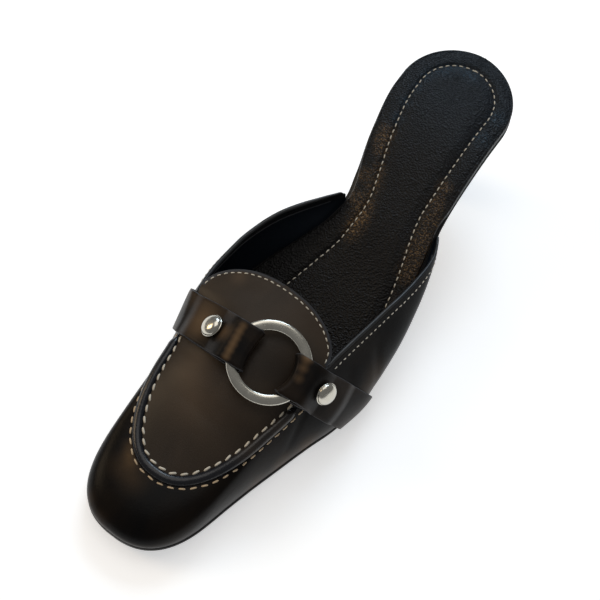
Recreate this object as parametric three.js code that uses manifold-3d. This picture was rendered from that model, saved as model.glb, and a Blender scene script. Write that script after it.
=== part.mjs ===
// A woman's leather mule for the left foot: a square toe, an apron vamp with a raised seam and a
// rounded tongue, a strap held by a metal ring and two domed studs, and a low kitten heel.
// Millimetres, +Z up. The toe points to -Y, and the outer side of the foot is +X.
import * as THREE from "three";
import { mergeVertices } from "three/addons/utils/BufferGeometryUtils.js";
import Module from "manifold-3d";

const wasm = await Module();
wasm.setup();

// Driving sizes. Places along the shoe are shares of its length from the back of the heel seat.
const LENGTH = 250;
const BALL_WIDTH = 78;
const SEAT_WIDTH = 52;
const SEAT_RISE = 51; // what the back of the sole gains over the tread
const TOE_SPRING = 3.5;
const VAMP_HEIGHT = 38.5; // top of the upper over the tread, under the strap
const SOLE_THICKNESS = 3;
const INSOLE_THICKNESS = 4.2;
const WALL = 2; // vamp leather and lining together
const SKIVED = 0.5; // share of the wall's thickness left where it runs out beside the insole
const CLEARANCE = 0.3;

// Outline of the last's bottom: half widths on the inner and the outer side of the foot.
const OUTLINE = [
  { at: 0, inner: 0.5, outer: 0.5, of: SEAT_WIDTH },
  { at: 0.13, inner: 0.49, outer: 0.5, of: SEAT_WIDTH },
  { at: 0.22, inner: 0.41, outer: 0.51, of: SEAT_WIDTH },
  { at: 0.29, inner: 0.205, outer: 0.355, of: BALL_WIDTH },
  { at: 0.335, inner: 0.172, outer: 0.392, of: BALL_WIDTH },
  { at: 0.37, inner: 0.195, outer: 0.43, of: BALL_WIDTH },
  { at: 0.42, inner: 0.27, outer: 0.475, of: BALL_WIDTH },
  { at: 0.5, inner: 0.385, outer: 0.52, of: BALL_WIDTH },
  { at: 0.58, inner: 0.445, outer: 0.535, of: BALL_WIDTH },
  { at: 0.64, inner: 0.45, outer: 0.505, of: BALL_WIDTH },
  { at: 0.7, inner: 0.432, outer: 0.45, of: BALL_WIDTH },
  { at: 0.76, inner: 0.405, outer: 0.4, of: BALL_WIDTH },
  { at: 0.82, inner: 0.375, outer: 0.353, of: BALL_WIDTH },
  { at: 0.9, inner: 0.345, outer: 0.305, of: BALL_WIDTH },
  { at: 1, inner: 0.315, outer: 0.275, of: BALL_WIDTH },
];
const TOE_START = 0.87; // from here the sides turn into the toe
const TOE_SQUARENESS = 2.6;

// Top of the sole, as shares of the seat's rise and of the toe spring.
const SOLE_LINE = [
  { at: 0, rise: 1, spring: 0 },
  { at: 0.155, rise: 0.865, spring: 0 },
  { at: 0.33, rise: 0.553, spring: 0 },
  { at: 0.45, rise: 0.27, spring: 0 },
  { at: 0.55, rise: 0.085, spring: 0 },
  { at: 0.62, rise: 0.012, spring: 0 },
  { at: 0.66, rise: 0, spring: 0 },
  { at: 0.77, rise: 0, spring: 0 },
  { at: 0.84, rise: 0, spring: 0.16 },
  { at: 0.92, rise: 0, spring: 0.5 },
  { at: 1, rise: 0, spring: 1 },
];

// The apron seam, from the front of its curve back to the strap, and the topline behind it:
// half widths as shares of the ball width, heights as shares of the vamp's height.
const SEAM_FRONT = 0.902;
const SEAM_TURN = 0.78;
const SEAM_ROUNDNESS = 2.4;
const NOTCH = 0.632; // where topline and tongue part, under the strap
const SEAM_LINE = [
  { at: 0.31, inner: 0.17, outer: 0.375, innerUp: 0.92, outerUp: 0.945 },
  { at: 0.335, inner: 0.176, outer: 0.41, innerUp: 0.95, outerUp: 0.94 },
  { at: 0.35, inner: 0.195, outer: 0.425, innerUp: 0.99, outerUp: 0.94 },
  { at: 0.375, inner: 0.24, outer: 0.432, innerUp: 1.01, outerUp: 0.94 },
  { at: 0.41, inner: 0.315, outer: 0.43, innerUp: 0.995, outerUp: 0.94 },
  { at: 0.445, inner: 0.377, outer: 0.422, innerUp: 0.965, outerUp: 0.945 },
  { at: 0.48, inner: 0.415, outer: 0.409, innerUp: 0.935, outerUp: 0.955 },
  { at: 0.53, inner: 0.44, outer: 0.39, innerUp: 0.92, outerUp: 0.955 },
  { at: 0.58, inner: 0.443, outer: 0.37, innerUp: 0.915, outerUp: 0.955 },
  { at: 0.632, inner: 0.425, outer: 0.355, innerUp: 0.91, outerUp: 0.945 },
  { at: 0.66, inner: 0.4, outer: 0.355, innerUp: 0.83, outerUp: 0.84 },
  { at: 0.69, inner: 0.372, outer: 0.345, innerUp: 0.75, outerUp: 0.74 },
  { at: 0.73, inner: 0.35, outer: 0.325, innerUp: 0.69, outerUp: 0.685 },
  { at: 0.772, inner: 0.33, outer: 0.3, innerUp: 0.66, outerUp: 0.655 },
  { at: 0.82, inner: 0.3, outer: 0.27, innerUp: 0.6, outerUp: 0.6 },
  { at: 0.86, inner: 0.275, outer: 0.245, innerUp: 0.54, outerUp: 0.54 },
  { at: 0.902, inner: 0.25, outer: 0.22, innerUp: 0.495, outerUp: 0.495 },
];
const JOIN_INNER = 0.335; // where the topline meets the sole
const JOIN_OUTER = 0.31;

// The vamp between its seams: its ridge, and its virtual edges where the tongue goes on.
const RIDGE_LINE = [
  { at: 0.53, ridge: 1.25, edge: 1.05 },
  { at: 0.57, ridge: 1.19, edge: 1.0 },
  { at: 0.6, ridge: 1.135, edge: 0.965 },
  { at: 0.632, ridge: 1.08, edge: 0.925 },
  { at: 0.684, ridge: 1, edge: 0.76 },
  { at: 0.74, ridge: 0.89, edge: 0.68 },
  { at: 0.8, ridge: 0.75, edge: 0.63 },
  { at: 0.86, ridge: 0.6, edge: 0.54 },
  { at: 0.902, ridge: 0.505, edge: 0.495 },
];
const CROWN_POWER = 2.2;
const TONGUE_END = 0.573;

// How far the side wall swells past the straight line from the sole to the seam, low down and
// high up, as shares of the ball width, and how upright it leaves the sole.
const SWELL_LINE = [
  { at: 0.31, innerLow: 0.005, outerLow: 0.005, high: 0.005, upright: 0.4, tuck: 0.35 },
  { at: 0.4, innerLow: 0.045, outerLow: 0.05, high: 0.035, upright: 0.4, tuck: 0.35 },
  { at: 0.5, innerLow: 0.045, outerLow: 0.06, high: 0.045, upright: 0.4, tuck: 0.35 },
  { at: 0.63, innerLow: 0.02, outerLow: 0.04, high: 0.045, upright: 0.4, tuck: 0.3 },
  { at: 0.75, innerLow: -0.01, outerLow: 0.01, high: 0.025, upright: 0.45, tuck: 0.22 },
  { at: 0.88, innerLow: 0, outerLow: 0.01, high: 0.045, upright: 0.55, tuck: 0.12 },
  { at: 1, innerLow: 0.03, outerLow: 0.035, high: 0.13, upright: 0.65, tuck: 0.06 },
];

const BEAD_WIDTH = 4.6; // raised seam between its two rows of stitches
const BEAD_HEIGHT = 1.5;
const BEAD_FADE = 5; // length over which it sinks under the strap
const BEAD_SUNK = 0.4; // its share of the full size there

const STRAP_WIDTH = 17;
const STRAP_THICKNESS = 1.5;
const STRAP_LEAN = 0.56; // the strap's plane runs this far forward for each mm up
const STRAP_FOOT = 150; // from the back of the heel to the strap's plane, at the floor
const STRAP_SKEW = 0.06; // and this far back for each mm to the outer side
const STRAP_LOW_END = 0.03; // its low end, as a share of the way up the wall
const LAYER_RAMP = 7; // length over which its layers part or come together

const RING_RADIUS = 16.4;
const RING_BAR = 4.3;
const RING_THICKNESS = 2.6;
const RING_OFFSET = 9; // ring's centre, to the outer side of the shoe's axis
const LOOP_FOLLOWS = { inner: 0.35, outer: 0.8 }; // how closely the loops' folds follow its curve

const STUD_RADIUS = 4.7;
const STUD_DOME = 2.2;
const STUD_RIM = 0.6;
const STUD_FROM_RING = { inner: 6.8, outer: 5.2 }; // stud's centre to the outer edge of the ring
const STUD_ASIDE = { inner: 0, outer: 1.2 }; // and this far back of the strap's middle line
const FOLD_END = 5; // the strap's folded end reaches this far past the edge of the stud

// The heel's sections, from the tip to the seat: half width, and how far its back and its
// breast stand from the back of the seat, all as shares of the seat's width.
const TOP_PIECE = 4.5;
const HEEL_INSIDE = 0.9; // the heel's top stays this far inside the sole's edge
const HEEL_LINE = [
  { at: 0, half: 0.123, back: 0.414, breast: 0.634 },
  { at: 0.2, half: 0.129, back: 0.396, breast: 0.642 },
  { at: 0.4, half: 0.15, back: 0.346, breast: 0.669 },
  { at: 0.6, half: 0.204, back: 0.254, breast: 0.715 },
  { at: 0.78, half: 0.3, back: 0.131, breast: 0.781 },
  { at: 0.9, half: 0.41, back: 0.046, breast: 0.846 },
  { at: 1, half: 0.473, back: 0.025, breast: 0.904 },
];
const HEEL_SQUARENESS = 2.3;

const mix = (a, b, share) => a + (b - a) * share;
const clamp = (v, low, high) => Math.min(Math.max(v, low), high);
const smooth = (v, low, high) => {
  const u = clamp((v - low) / (high - low), 0, 1);
  return u * u * (3 - 2 * u);
};

// A smooth curve through the rows of a table, with no overshoot between them.
function through(rows, value) {
  const x = rows.map((row) => row.at);
  const y = rows.map(value);
  const step = x.slice(1).map((v, i) => v - x[i]);
  const slope = step.map((h, i) => (y[i + 1] - y[i]) / h);
  const tangent = y.map((_, i) => {
    if (i === 0) return slope[0];
    if (i === y.length - 1) return slope[i - 1];
    if (slope[i - 1] * slope[i] <= 0) return 0;
    const a = 2 * step[i] + step[i - 1];
    const b = step[i] + 2 * step[i - 1];
    return (a + b) / (a / slope[i - 1] + b / slope[i]);
  });
  return (at) => {
    const t = clamp(at, x[0], x[x.length - 1]);
    const i = Math.max(0, x.findIndex((v) => v >= t) - 1);
    const h = step[i];
    const u = (t - x[i]) / h;
    return (
      y[i] * (1 + 2 * u) * (1 - u) ** 2 +
      h * tangent[i] * u * (1 - u) ** 2 +
      y[i + 1] * u * u * (3 - 2 * u) +
      h * tangent[i + 1] * u * u * (u - 1)
    );
  };
}

const INNER = -1;
const OUTER = 1;
const ofSide = (sizes, side) => (side < 0 ? sizes.inner : sizes.outer);
const innerWidth = through(OUTLINE, (row) => row.inner * row.of);
const outerWidth = through(OUTLINE, (row) => row.outer * row.of);
const soleTop = through(
  SOLE_LINE,
  (row) => SOLE_THICKNESS + row.rise * SEAT_RISE + row.spring * TOE_SPRING,
);
const seamInner = through(SEAM_LINE, (row) => row.inner * BALL_WIDTH);
const seamOuter = through(SEAM_LINE, (row) => row.outer * BALL_WIDTH);
const seamInnerUp = through(SEAM_LINE, (row) => row.innerUp * VAMP_HEIGHT);
const seamOuterUp = through(SEAM_LINE, (row) => row.outerUp * VAMP_HEIGHT);
const ridgeUp = through(RIDGE_LINE, (row) => row.ridge * VAMP_HEIGHT);
const edgeUp = through(RIDGE_LINE, (row) => row.edge * VAMP_HEIGHT);
const swellInner = through(SWELL_LINE, (row) => row.innerLow * BALL_WIDTH);
const swellOuter = through(SWELL_LINE, (row) => row.outerLow * BALL_WIDTH);
const swellHigh = through(SWELL_LINE, (row) => row.high * BALL_WIDTH);
const upright = through(SWELL_LINE, (row) => row.upright);
const tuck = through(SWELL_LINE, (row) => row.tuck);
const swellLow = (at, side) => (side < 0 ? swellInner(at) : swellOuter(at));

// How much of its half width a round end leaves, at a share of the way into the end.
const roundEnd = (into, power) => (1 - clamp(into, 0, 1) ** power) ** (1 / power);

const HEEL_ROUND = SEAT_WIDTH / 2 / LENGTH;
function outlineX(at, side, inset = 0) {
  const middle = (outerWidth(at) - innerWidth(at)) / 2;
  const half = (outerWidth(at) + innerWidth(at)) / 2 - inset;
  const toe = roundEnd((at - TOE_START) / (1 - TOE_START), TOE_SQUARENESS);
  return middle + side * half * toe * roundEnd(1 - at / HEEL_ROUND, 2);
}

function seamX(at, side) {
  const middle = (seamOuter(at) - seamInner(at)) / 2;
  const half = (seamOuter(at) + seamInner(at)) / 2;
  return middle + side * half * roundEnd((at - SEAM_TURN) / (SEAM_FRONT - SEAM_TURN), SEAM_ROUNDNESS);
}
const seamUp = (at, side) => (side < 0 ? seamInnerUp(at) : seamOuterUp(at));

// A curve given by its share of the length, measured so that points can be spaced evenly on it.
function measured(point, from, to) {
  const fine = 500;
  const rows = [];
  for (let i = 0; i <= fine; i++) {
    const at = mix(from, to, 1 - Math.cos((Math.PI / 2) * (i / fine)));
    const [x, y] = point(at);
    const last = rows[i - 1];
    rows.push({ at, x, y, run: last ? last.run + Math.hypot(x - last.x, y - last.y) : 0 });
  }
  const whole = rows[fine].run;
  return (share) => {
    const goal = clamp(share, 0, 1) * whole;
    const i = Math.max(1, rows.findIndex((row) => row.run >= goal - 1e-9));
    const a = rows[i - 1];
    const b = rows[i];
    return mix(a.at, b.at, clamp((goal - a.run) / (b.run - a.run || 1), 0, 1));
  };
}

// The upper's side: travel runs from 0 at the middle of the toe to 1 at the notch, and on to 2 at
// the join. It gives matching places on the sole's edge and on the seam or topline.
const frontLine = measured((at) => [seamX(at, OUTER), -at * LENGTH], SEAM_FRONT, NOTCH);
function sidePlaces(side) {
  const join = side < 0 ? JOIN_INNER : JOIN_OUTER;
  const frontFoot = measured((at) => [outlineX(at, side), -at * LENGTH], 1, NOTCH);
  const behind = (travel) => mix(NOTCH, join, travel - 1);
  return (travel) =>
    travel <= 1
      ? { foot: frontFoot(travel), line: frontLine(travel) }
      : { foot: behind(travel), line: behind(travel) };
}
const PLACES = { [INNER]: sidePlaces(INNER), [OUTER]: sidePlaces(OUTER) };

const vector = (x, y, z) => new THREE.Vector3(x, y, z);

// The side wall's outer surface, as a soft curve from the sole's edge (climb 0) to the line (1).
function wallCurve(travel, side) {
  const place = PLACES[side](travel);
  const { foot: a, line: s } = place;
  const foot = vector(outlineX(a, side), -a * LENGTH, soleTop(a) + CLEARANCE / 2);
  const line = vector(seamX(s, side), -s * LENGTH, seamUp(s, side));
  const step = 0.0012;
  const high = Math.min(a + step, 1);
  const low = a - step;
  const run = vector(outlineX(high, side) - outlineX(low, side), -(high - low) * LENGTH, 0).normalize();
  const out = vector(-run.y * side, run.x * side, 0);
  if (out.x * side < 0) out.negate();
  const rise = line.z - foot.z;
  const lowPoint = foot.clone().addScaledVector(out, swellLow(a, side));
  lowPoint.z += rise * upright(a);
  const highPoint = line.clone().lerp(foot, 0.22).addScaledVector(out, swellHigh(a));
  highPoint.z = line.z - rise * tuck(a);
  return { curve: new THREE.CubicBezierCurve3(foot, lowPoint, highPoint, line), run, out };
}

function wallPoint(travel, side, climb, grow = 0) {
  const { curve, run, out } = wallCurve(travel, side);
  const point = curve.getPoint(climb);
  const normal = curve.getTangent(climb).cross(run).normalize();
  if (normal.dot(out) + normal.z < 0) normal.negate();
  point.addScaledVector(normal, grow);
  point.z = Math.max(point.z, curve.v0.z);
  return { point, normal };
}
const wallThickness = (travel) => WALL * mix(1, SKIVED, smooth(travel, 1.7, 2));

// The apron and tongue: across runs from -1 on the inner line to 1 on the outer one.
function apronSpan(at) {
  const back = Math.max(NOTCH, at);
  const inner = seamX(back, INNER);
  const outer = seamX(back, OUTER);
  return { middle: (inner + outer) / 2, half: (outer - inner) / 2 };
}
function apronHeight(x, at) {
  const { middle, half } = apronSpan(at);
  const across = clamp((x - middle) / Math.max(half, 0.01), -1, 1);
  const side = across < 0 ? INNER : OUTER;
  const edge = at > NOTCH ? seamUp(at, side) : seamUp(NOTCH, side) + edgeUp(at) - edgeUp(NOTCH);
  return ridgeUp(at) - (ridgeUp(at) - edge) * Math.abs(across) ** CROWN_POWER;
}
function apronPoint(x, at, grow = 0) {
  const d = 1.5;
  const slopeX = (apronHeight(x + d, at) - apronHeight(x - d, at)) / (2 * d);
  const slopeY = (apronHeight(x, at - d / LENGTH) - apronHeight(x, at + d / LENGTH)) / (2 * d);
  const normal = vector(-slopeX, -slopeY, 1).normalize();
  const point = vector(x, -at * LENGTH, apronHeight(x, at));
  return { point: point.addScaledVector(normal, grow), normal };
}

// A closed solid through rings that all hold the same number of points. Its ends are closed by
// strips from a ring's first half to its second.
function loft(rings, closed = false) {
  const n = rings[0].length;
  const count = rings.length;
  const index = [];
  const id = (i, j) => (i % count) * n + (j % n);
  for (let i = 0; i < (closed ? count : count - 1); i++) {
    for (let j = 0; j < n; j++) {
      index.push(id(i, j), id(i + 1, j), id(i + 1, j + 1));
      index.push(id(i, j), id(i + 1, j + 1), id(i, j + 1));
    }
  }
  const cap = (i, flip) => {
    const push = (a, b, c) => index.push(...(flip ? [a, c, b] : [a, b, c]));
    for (let j = 0; j < n / 2 - 1; j++) {
      const [a, b, c, d] = [j, j + 1, n - 1 - j, n - 2 - j].map((k) => i * n + k);
      push(a, b, c);
      if (b !== d) push(b, d, c);
    }
  };
  if (!closed) {
    cap(0, false);
    cap(count - 1, true);
  }
  const position = rings.flat().flatMap((p) => (p.isVector3 ? p.toArray() : p));
  return toSolid(position, index);
}

function toSolid(position, index) {
  const build = (triangles) =>
    new wasm.Manifold(
      new wasm.Mesh({
        numProp: 3,
        vertProperties: new Float32Array(position),
        triVerts: new Uint32Array(triangles),
      }),
    );
  const made = build(index);
  if (made.volume() > 0) return made;
  const turned = index.slice();
  for (let i = 0; i < turned.length; i += 3) [turned[i + 1], turned[i + 2]] = [turned[i + 2], turned[i + 1]];
  return build(turned);
}

function fromGeometry(geometry) {
  const bare = geometry.clone();
  bare.deleteAttribute("normal");
  bare.deleteAttribute("uv");
  const merged = mergeVertices(bare, 1e-4);
  return toSolid([...merged.attributes.position.array], [...merged.index.array]);
}

function toGeometry(solid) {
  const mesh = solid.getMesh();
  const position = new Float32Array(mesh.numVert * 3);
  for (let i = 0; i < mesh.numVert; i++) {
    position.set(mesh.vertProperties.subarray(i * mesh.numProp, i * mesh.numProp + 3), i * 3);
  }
  const geometry = new THREE.BufferGeometry();
  geometry.setAttribute("position", new THREE.BufferAttribute(position, 3));
  geometry.setIndex(new THREE.BufferAttribute(mesh.triVerts, 1));
  geometry.computeVertexNormals();
  return geometry;
}

// Places along the sole that space its outline evenly.
const END_SHARE = 0.0004; // its plates stop this short of a point at heel and toe
function soleStations(count) {
  const half = measured((at) => [outlineX(at, OUTER), -at * LENGTH], 0.5, 1 - END_SHARE);
  const rear = measured((at) => [outlineX(at, OUTER), -at * LENGTH], 0.5, END_SHARE);
  const places = [];
  for (let i = count; i > 0; i--) places.push(rear(1 - (1 - i / count) ** 1.15));
  for (let i = 0; i <= count; i++) places.push(half(i / count));
  return places;
}

const SOLE_EDGE = 0.3; // the sole stands this far past the upper
const SOLE_BEVEL = 1.4;
const SOLE_STEPS = 28;
function outsole() {
  const rings = soleStations(SOLE_STEPS).map((at) => {
    const y = -at * LENGTH;
    const past = -SOLE_EDGE * smooth(at, JOIN_OUTER - 0.05, JOIN_OUTER + 0.05);
    const top = soleTop(at) - CLEARANCE / 2;
    const bottom = soleTop(at) - SOLE_THICKNESS;
    const inner = outlineX(at, INNER, past);
    const outer = outlineX(at, OUTER, past);
    const bevel = Math.min(SOLE_BEVEL, (outer - inner) / 4);
    return [
      [inner + bevel, y, bottom],
      [inner, y, bottom + SOLE_BEVEL],
      [inner, y, top],
      [outer, y, top],
      [outer, y, bottom + SOLE_BEVEL],
      [outer - bevel, y, bottom],
    ];
  });
  return loft(rings);
}

// The insole is the bed of heel and waist, and lies inside the upper in front.
const INSOLE_EDGE = 1.1; // the leather is wrapped round this edge
const INSOLE_FRONT = 0.975;
function insole() {
  const join = (JOIN_INNER + JOIN_OUTER) / 2;
  const scale = (at) => at * INSOLE_FRONT + END_SHARE * (1 - at);
  const rings = soleStations(SOLE_STEPS).map(scale).map((at) => {
    const y = -at * LENGTH;
    const skived = mix(CLEARANCE, WALL * SKIVED + 2 * CLEARANCE, smooth(at, join - 0.06, join - 0.01));
    const inset = mix(skived, WALL + 3 * CLEARANCE, smooth(at, join, join + 0.06));
    const bottom = soleTop(at) + CLEARANCE / 2;
    const slim = smooth(at, join, NOTCH);
    const top = bottom + mix(INSOLE_THICKNESS, INSOLE_THICKNESS / 2, slim);
    const endTurn = roundEnd((at - 0.86) / (INSOLE_FRONT + 0.0005 - 0.86), TOE_SQUARENESS);
    const middle = (outlineX(at, OUTER) + outlineX(at, INNER)) / 2;
    const half = Math.max((outlineX(at, OUTER, inset) - outlineX(at, INNER, inset)) / 2, 0.3);
    const reach = at > 0.86 ? Math.min(half, half * endTurn + 0.3) : half;
    const round = Math.min(INSOLE_EDGE, reach / 3);
    return [
      [middle - reach, y, bottom],
      [middle - reach, y, top - INSOLE_EDGE],
      [middle - reach + round * 0.6, y, top - INSOLE_EDGE * 0.3],
      [middle - reach + round * 2, y, top],
      [middle + reach - round * 2, y, top],
      [middle + reach - round * 0.6, y, top - INSOLE_EDGE * 0.3],
      [middle + reach, y, top - INSOLE_EDGE],
      [middle + reach, y, bottom],
    ];
  });
  return loft(rings);
}

// The strap's plane through a point of the shoe: what is left over is the place across the strap.
const acrossStrap = ({ x, y, z }) =>
  (STRAP_SKEW * (x - RING_OFFSET) - y - STRAP_FOOT - STRAP_LEAN * z) / Math.hypot(1, STRAP_LEAN);

// The side walls and toe in one band, from join to join.
const WALL_STEPS = 8;
const FRONT_TRAVELS = 22;
const BACK_TRAVELS = 13;
function wallBand() {
  const stops = [];
  for (let i = BACK_TRAVELS; i > 0; i--) stops.push(1 + (i / BACK_TRAVELS) ** 1.2);
  for (let i = FRONT_TRAVELS; i > 0; i--) stops.push(i / FRONT_TRAVELS);
  const ring = (travel, side) => {
    const climbs = Array.from({ length: WALL_STEPS + 1 }, (_, i) => i / WALL_STEPS);
    const outer = climbs.map((climb) => wallPoint(travel, side, climb).point);
    const inner = climbs.map((climb) => wallPoint(travel, side, climb, -wallThickness(travel)).point);
    return [...outer, ...inner.reverse()];
  };
  const toe = ring(0, OUTER);
  return loft([
    ...stops.map((travel) => ring(travel, INNER)),
    toe,
    ...stops.reverse().map((travel) => ring(travel, OUTER)),
  ]);
}

// The apron with its tongue. Its edges are the wall's own line, so the two join.
const APRON_COLUMNS = 12;
function apron() {
  const places = [SEAM_FRONT - END_SHARE / 4];
  for (let i = 1; i <= FRONT_TRAVELS; i++) places.push(frontLine(i / FRONT_TRAVELS));
  const tongueRound = (at) => roundEnd((NOTCH - at) / (NOTCH - TONGUE_END), 2.1) ** 0.9;
  for (let i = 1; i <= 12; i++) {
    places.push(mix(NOTCH, TONGUE_END + END_SHARE / 2, Math.sin((Math.PI / 2) * (i / 12))));
  }
  const rings = places.map((at) => {
    const { middle, half } = apronSpan(at);
    const reach = half * tongueRound(at);
    const xs = Array.from({ length: APRON_COLUMNS + 1 }, (_, j) =>
      mix(middle - reach, middle + reach, j / APRON_COLUMNS),
    );
    const top = xs.map((x) => apronPoint(x, at).point);
    const under = xs.map((x) => apronPoint(x, at, -WALL).point);
    return [...top, ...under.reverse()];
  });
  return loft(rings);
}

// The raised seam round the apron, which sinks away under the strap.
const BEAD_SIDES = 8;
const BEAD_TRAVELS = 26;
function bead() {
  const stops = Array.from({ length: BEAD_TRAVELS + 1 }, (_, i) => i / BEAD_TRAVELS);
  const ring = (travel, side) => {
    const { point, normal } = wallPoint(travel, side, 1);
    const inward = apronPoint(point.x - side * 0.5, Math.min(PLACES[side](travel).line, SEAM_FRONT)).normal;
    const up = normal.clone().add(inward).normalize();
    const next = PLACES[side](Math.max(0, travel - 0.01)).line;
    const here = PLACES[side](travel + 0.01).line;
    const run = vector(
      seamX(here, side) - seamX(next, side),
      -(here - next) * LENGTH,
      seamUp(here, side) - seamUp(next, side),
    );
    if (travel === 0) run.set(side, 0, 0);
    const across = run.cross(up).normalize();
    const sunk = smooth(acrossStrap(point), STRAP_WIDTH / 2 - 1, STRAP_WIDTH / 2 + BEAD_FADE);
    const size = mix(BEAD_SUNK, 1, sunk);
    const middle = point.clone().addScaledVector(up, -BEAD_HEIGHT * (1 - size));
    return Array.from({ length: BEAD_SIDES }, (_, k) => {
      const angle = (2 * Math.PI * (k + 0.5)) / BEAD_SIDES;
      return middle
        .clone()
        .addScaledVector(across, ((side * BEAD_WIDTH * size) / 2) * Math.cos(angle))
        .addScaledVector(up, BEAD_HEIGHT * size * Math.sin(angle));
    });
  };
  return loft([
    ...stops.slice(1).reverse().map((travel) => ring(travel, INNER)),
    ring(0, OUTER),
    ...stops.slice(1).map((travel) => ring(travel, OUTER)),
  ]);
}

function upper() {
  return wallBand().add(apron()).add(bead());
}

// Finds where a rising function of one number reaches a goal.
function solve(f, goal, from, to) {
  let low = from;
  let high = to;
  for (let i = 0; i < 30; i++) {
    const middle = (low + high) / 2;
    if (f(middle) < goal) low = middle;
    else high = middle;
  }
  return (low + high) / 2;
}

// The upper's outer surface along the strap: way runs from 0 at the sole's edge to 1 at the seam,
// and on to 2 at the middle of the vamp; across is the place over the strap's width.
const SEAM_BLEND = 0.08;
function strapSurface(side, way, across) {
  const onWall = (climb) => {
    const travel = solve((t) => -acrossStrap(wallPoint(t, side, climb).point), -across, 0.2, 1.8);
    return wallPoint(travel, side, climb);
  };
  const onApron = (share) => {
    const spot = (at) => {
      const { middle, half } = apronSpan(at);
      return apronPoint(middle + side * half * share, at);
    };
    return spot(solve((at) => acrossStrap(spot(at).point), across, NOTCH, 0.8));
  };
  const found = way <= 1 ? onWall(way) : onApron(2 - way);
  const blend = 1 - Math.abs(way - 1) / SEAM_BLEND;
  if (blend > 0) {
    const other = way <= 1 ? onApron(1).normal : onWall(1).normal;
    found.normal.lerp(other, blend / 2).normalize();
  }
  return found;
}

// The ring lies over the under layers of the two loops, level between its two bars. Its frame:
// out points to the outer side of the shoe and front towards the toe.
const STRAP_SEAT = 1.5 * CLEARANCE; // strap over vamp, across the seam's crease too
const HALF_VOID = RING_THICKNESS / 2 + CLEARANCE;
const ring = (() => {
  const lift = STRAP_SEAT + STRAP_THICKNESS + HALF_VOID;
  const bar = RING_RADIUS - RING_BAR / 2;
  const seat = (x) => {
    const spot = (at) => apronPoint(x, at, lift);
    return spot(solve((at) => acrossStrap(spot(at).point), 0, NOTCH, 0.8)).point;
  };
  const low = seat(RING_OFFSET - bar);
  const high = seat(RING_OFFSET + bar);
  const middle = low.clone().lerp(high, 0.5);
  const at = -middle.y / LENGTH;
  const behind = apronPoint(RING_OFFSET, at - 0.02).point;
  const ahead = apronPoint(RING_OFFSET, at + 0.02).point.sub(behind);
  const out = high.sub(low).normalize();
  const normal = ahead.cross(out).normalize();
  const front = out.clone().cross(normal).normalize();
  return { middle, normal, out, front };
})();
const inRing = (along, across, up) =>
  ring.middle
    .clone()
    .addScaledVector(ring.out, along)
    .addScaledVector(ring.front, across)
    .addScaledVector(ring.normal, up);

// Where a line of the strap, across from its middle, turns back inside the ring.
function foldRun(side, across) {
  const innerEdge = (v) => Math.sqrt((RING_RADIUS - RING_BAR) ** 2 - v ** 2);
  return mix(innerEdge(STRAP_WIDTH / 2), innerEdge(across), ofSide(LOOP_FOLLOWS, side));
}
const STRAP_COLUMNS = [-1, -0.5, 0, 0.5, 1].map((share) => (share * STRAP_WIDTH) / 2);

// Lifts the ring until both under layers clear the vamp everywhere below its bars.
const shortfall = [INNER, OUTER].flatMap((side) =>
  STRAP_COLUMNS.flatMap((across) =>
    [0, 0.25, 0.5, 0.75, 1].map((share) => {
      const run = mix(foldRun(side, across) - STRAP_THICKNESS, RING_RADIUS + CLEARANCE, share);
      const under = inRing(side * run, across, -HALF_VOID - STRAP_THICKNESS);
      const at = -under.y / LENGTH;
      const over = under.z - apronHeight(under.x, at);
      return STRAP_SEAT - over * apronPoint(under.x, at).normal.z;
    }),
  ),
);
ring.middle.addScaledVector(ring.normal, Math.max(0, ...shortfall));

// One line along the strap, laid on the vamp and measured from beside the ring's centre out to
// the sole's edge.
const TRACE_STEPS = 90;
function trace(side, across) {
  const rows = [];
  const along = (point) => side * point.clone().sub(ring.middle).dot(ring.out);
  for (let i = 0; i <= TRACE_STEPS; i++) {
    const way = mix(STRAP_LOW_END, 2.7, i / TRACE_STEPS);
    const spot = way <= 2 ? strapSurface(side, way, across) : strapSurface(-side, 4 - way, across);
    rows.unshift({ ...spot, from: along(spot.point) });
    if (rows[0].from < 0) break;
  }
  const [near, next] = rows;
  near.point.lerp(next.point, -near.from / (next.from - near.from));
  near.run = 0;
  for (let i = 1; i < rows.length; i++) {
    rows[i].run = rows[i - 1].run + rows[i].point.distanceTo(rows[i - 1].point);
  }
  const end = rows.length - 1;
  const laid = (run, height) => {
    const found = rows.findIndex((row) => row.run >= run);
    const i = found < 0 ? end : Math.max(found, 1);
    const a = rows[i - 1];
    const b = rows[i];
    const share = clamp((run - a.run) / (b.run - a.run), 0, 1);
    const normal = a.normal.clone().lerp(b.normal, share).normalize();
    return a.point.clone().lerp(b.point, share).addScaledVector(normal, height);
  };
  return { laid, whole: rows[end].run };
}

const studRun = (side) => RING_RADIUS + ofSide(STUD_FROM_RING, side);
const underEnd = (side) => studRun(side) + STUD_RADIUS + FOLD_END;

// The face of the strap that looks at the ring's bar: down the over layer, round the fold and
// out along the under layer, on one line of the strap.
function strapLine(side, across) {
  const { laid, whole } = trace(side, across);
  const fold = foldRun(side, across);
  const parted = (run) => smooth(run, RING_RADIUS - CLEARANCE, RING_RADIUS + LAYER_RAMP);
  const over = (run) => {
    const doubled = 1 - smooth(run, underEnd(side), underEnd(side) + LAYER_RAMP);
    const height = STRAP_SEAT + (STRAP_THICKNESS + CLEARANCE) * doubled;
    return inRing(side * run, across, HALF_VOID).lerp(laid(run, height), parted(run));
  };
  const under = (run) =>
    inRing(side * run, across, -HALF_VOID).lerp(laid(run, STRAP_SEAT + STRAP_THICKNESS), parted(run));
  const folded = (angle) =>
    inRing(side * (fold - 2 * CLEARANCE * Math.cos(angle)), across, HALF_VOID * Math.sin(angle));
  return { over, under, folded, fold, whole };
}

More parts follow.
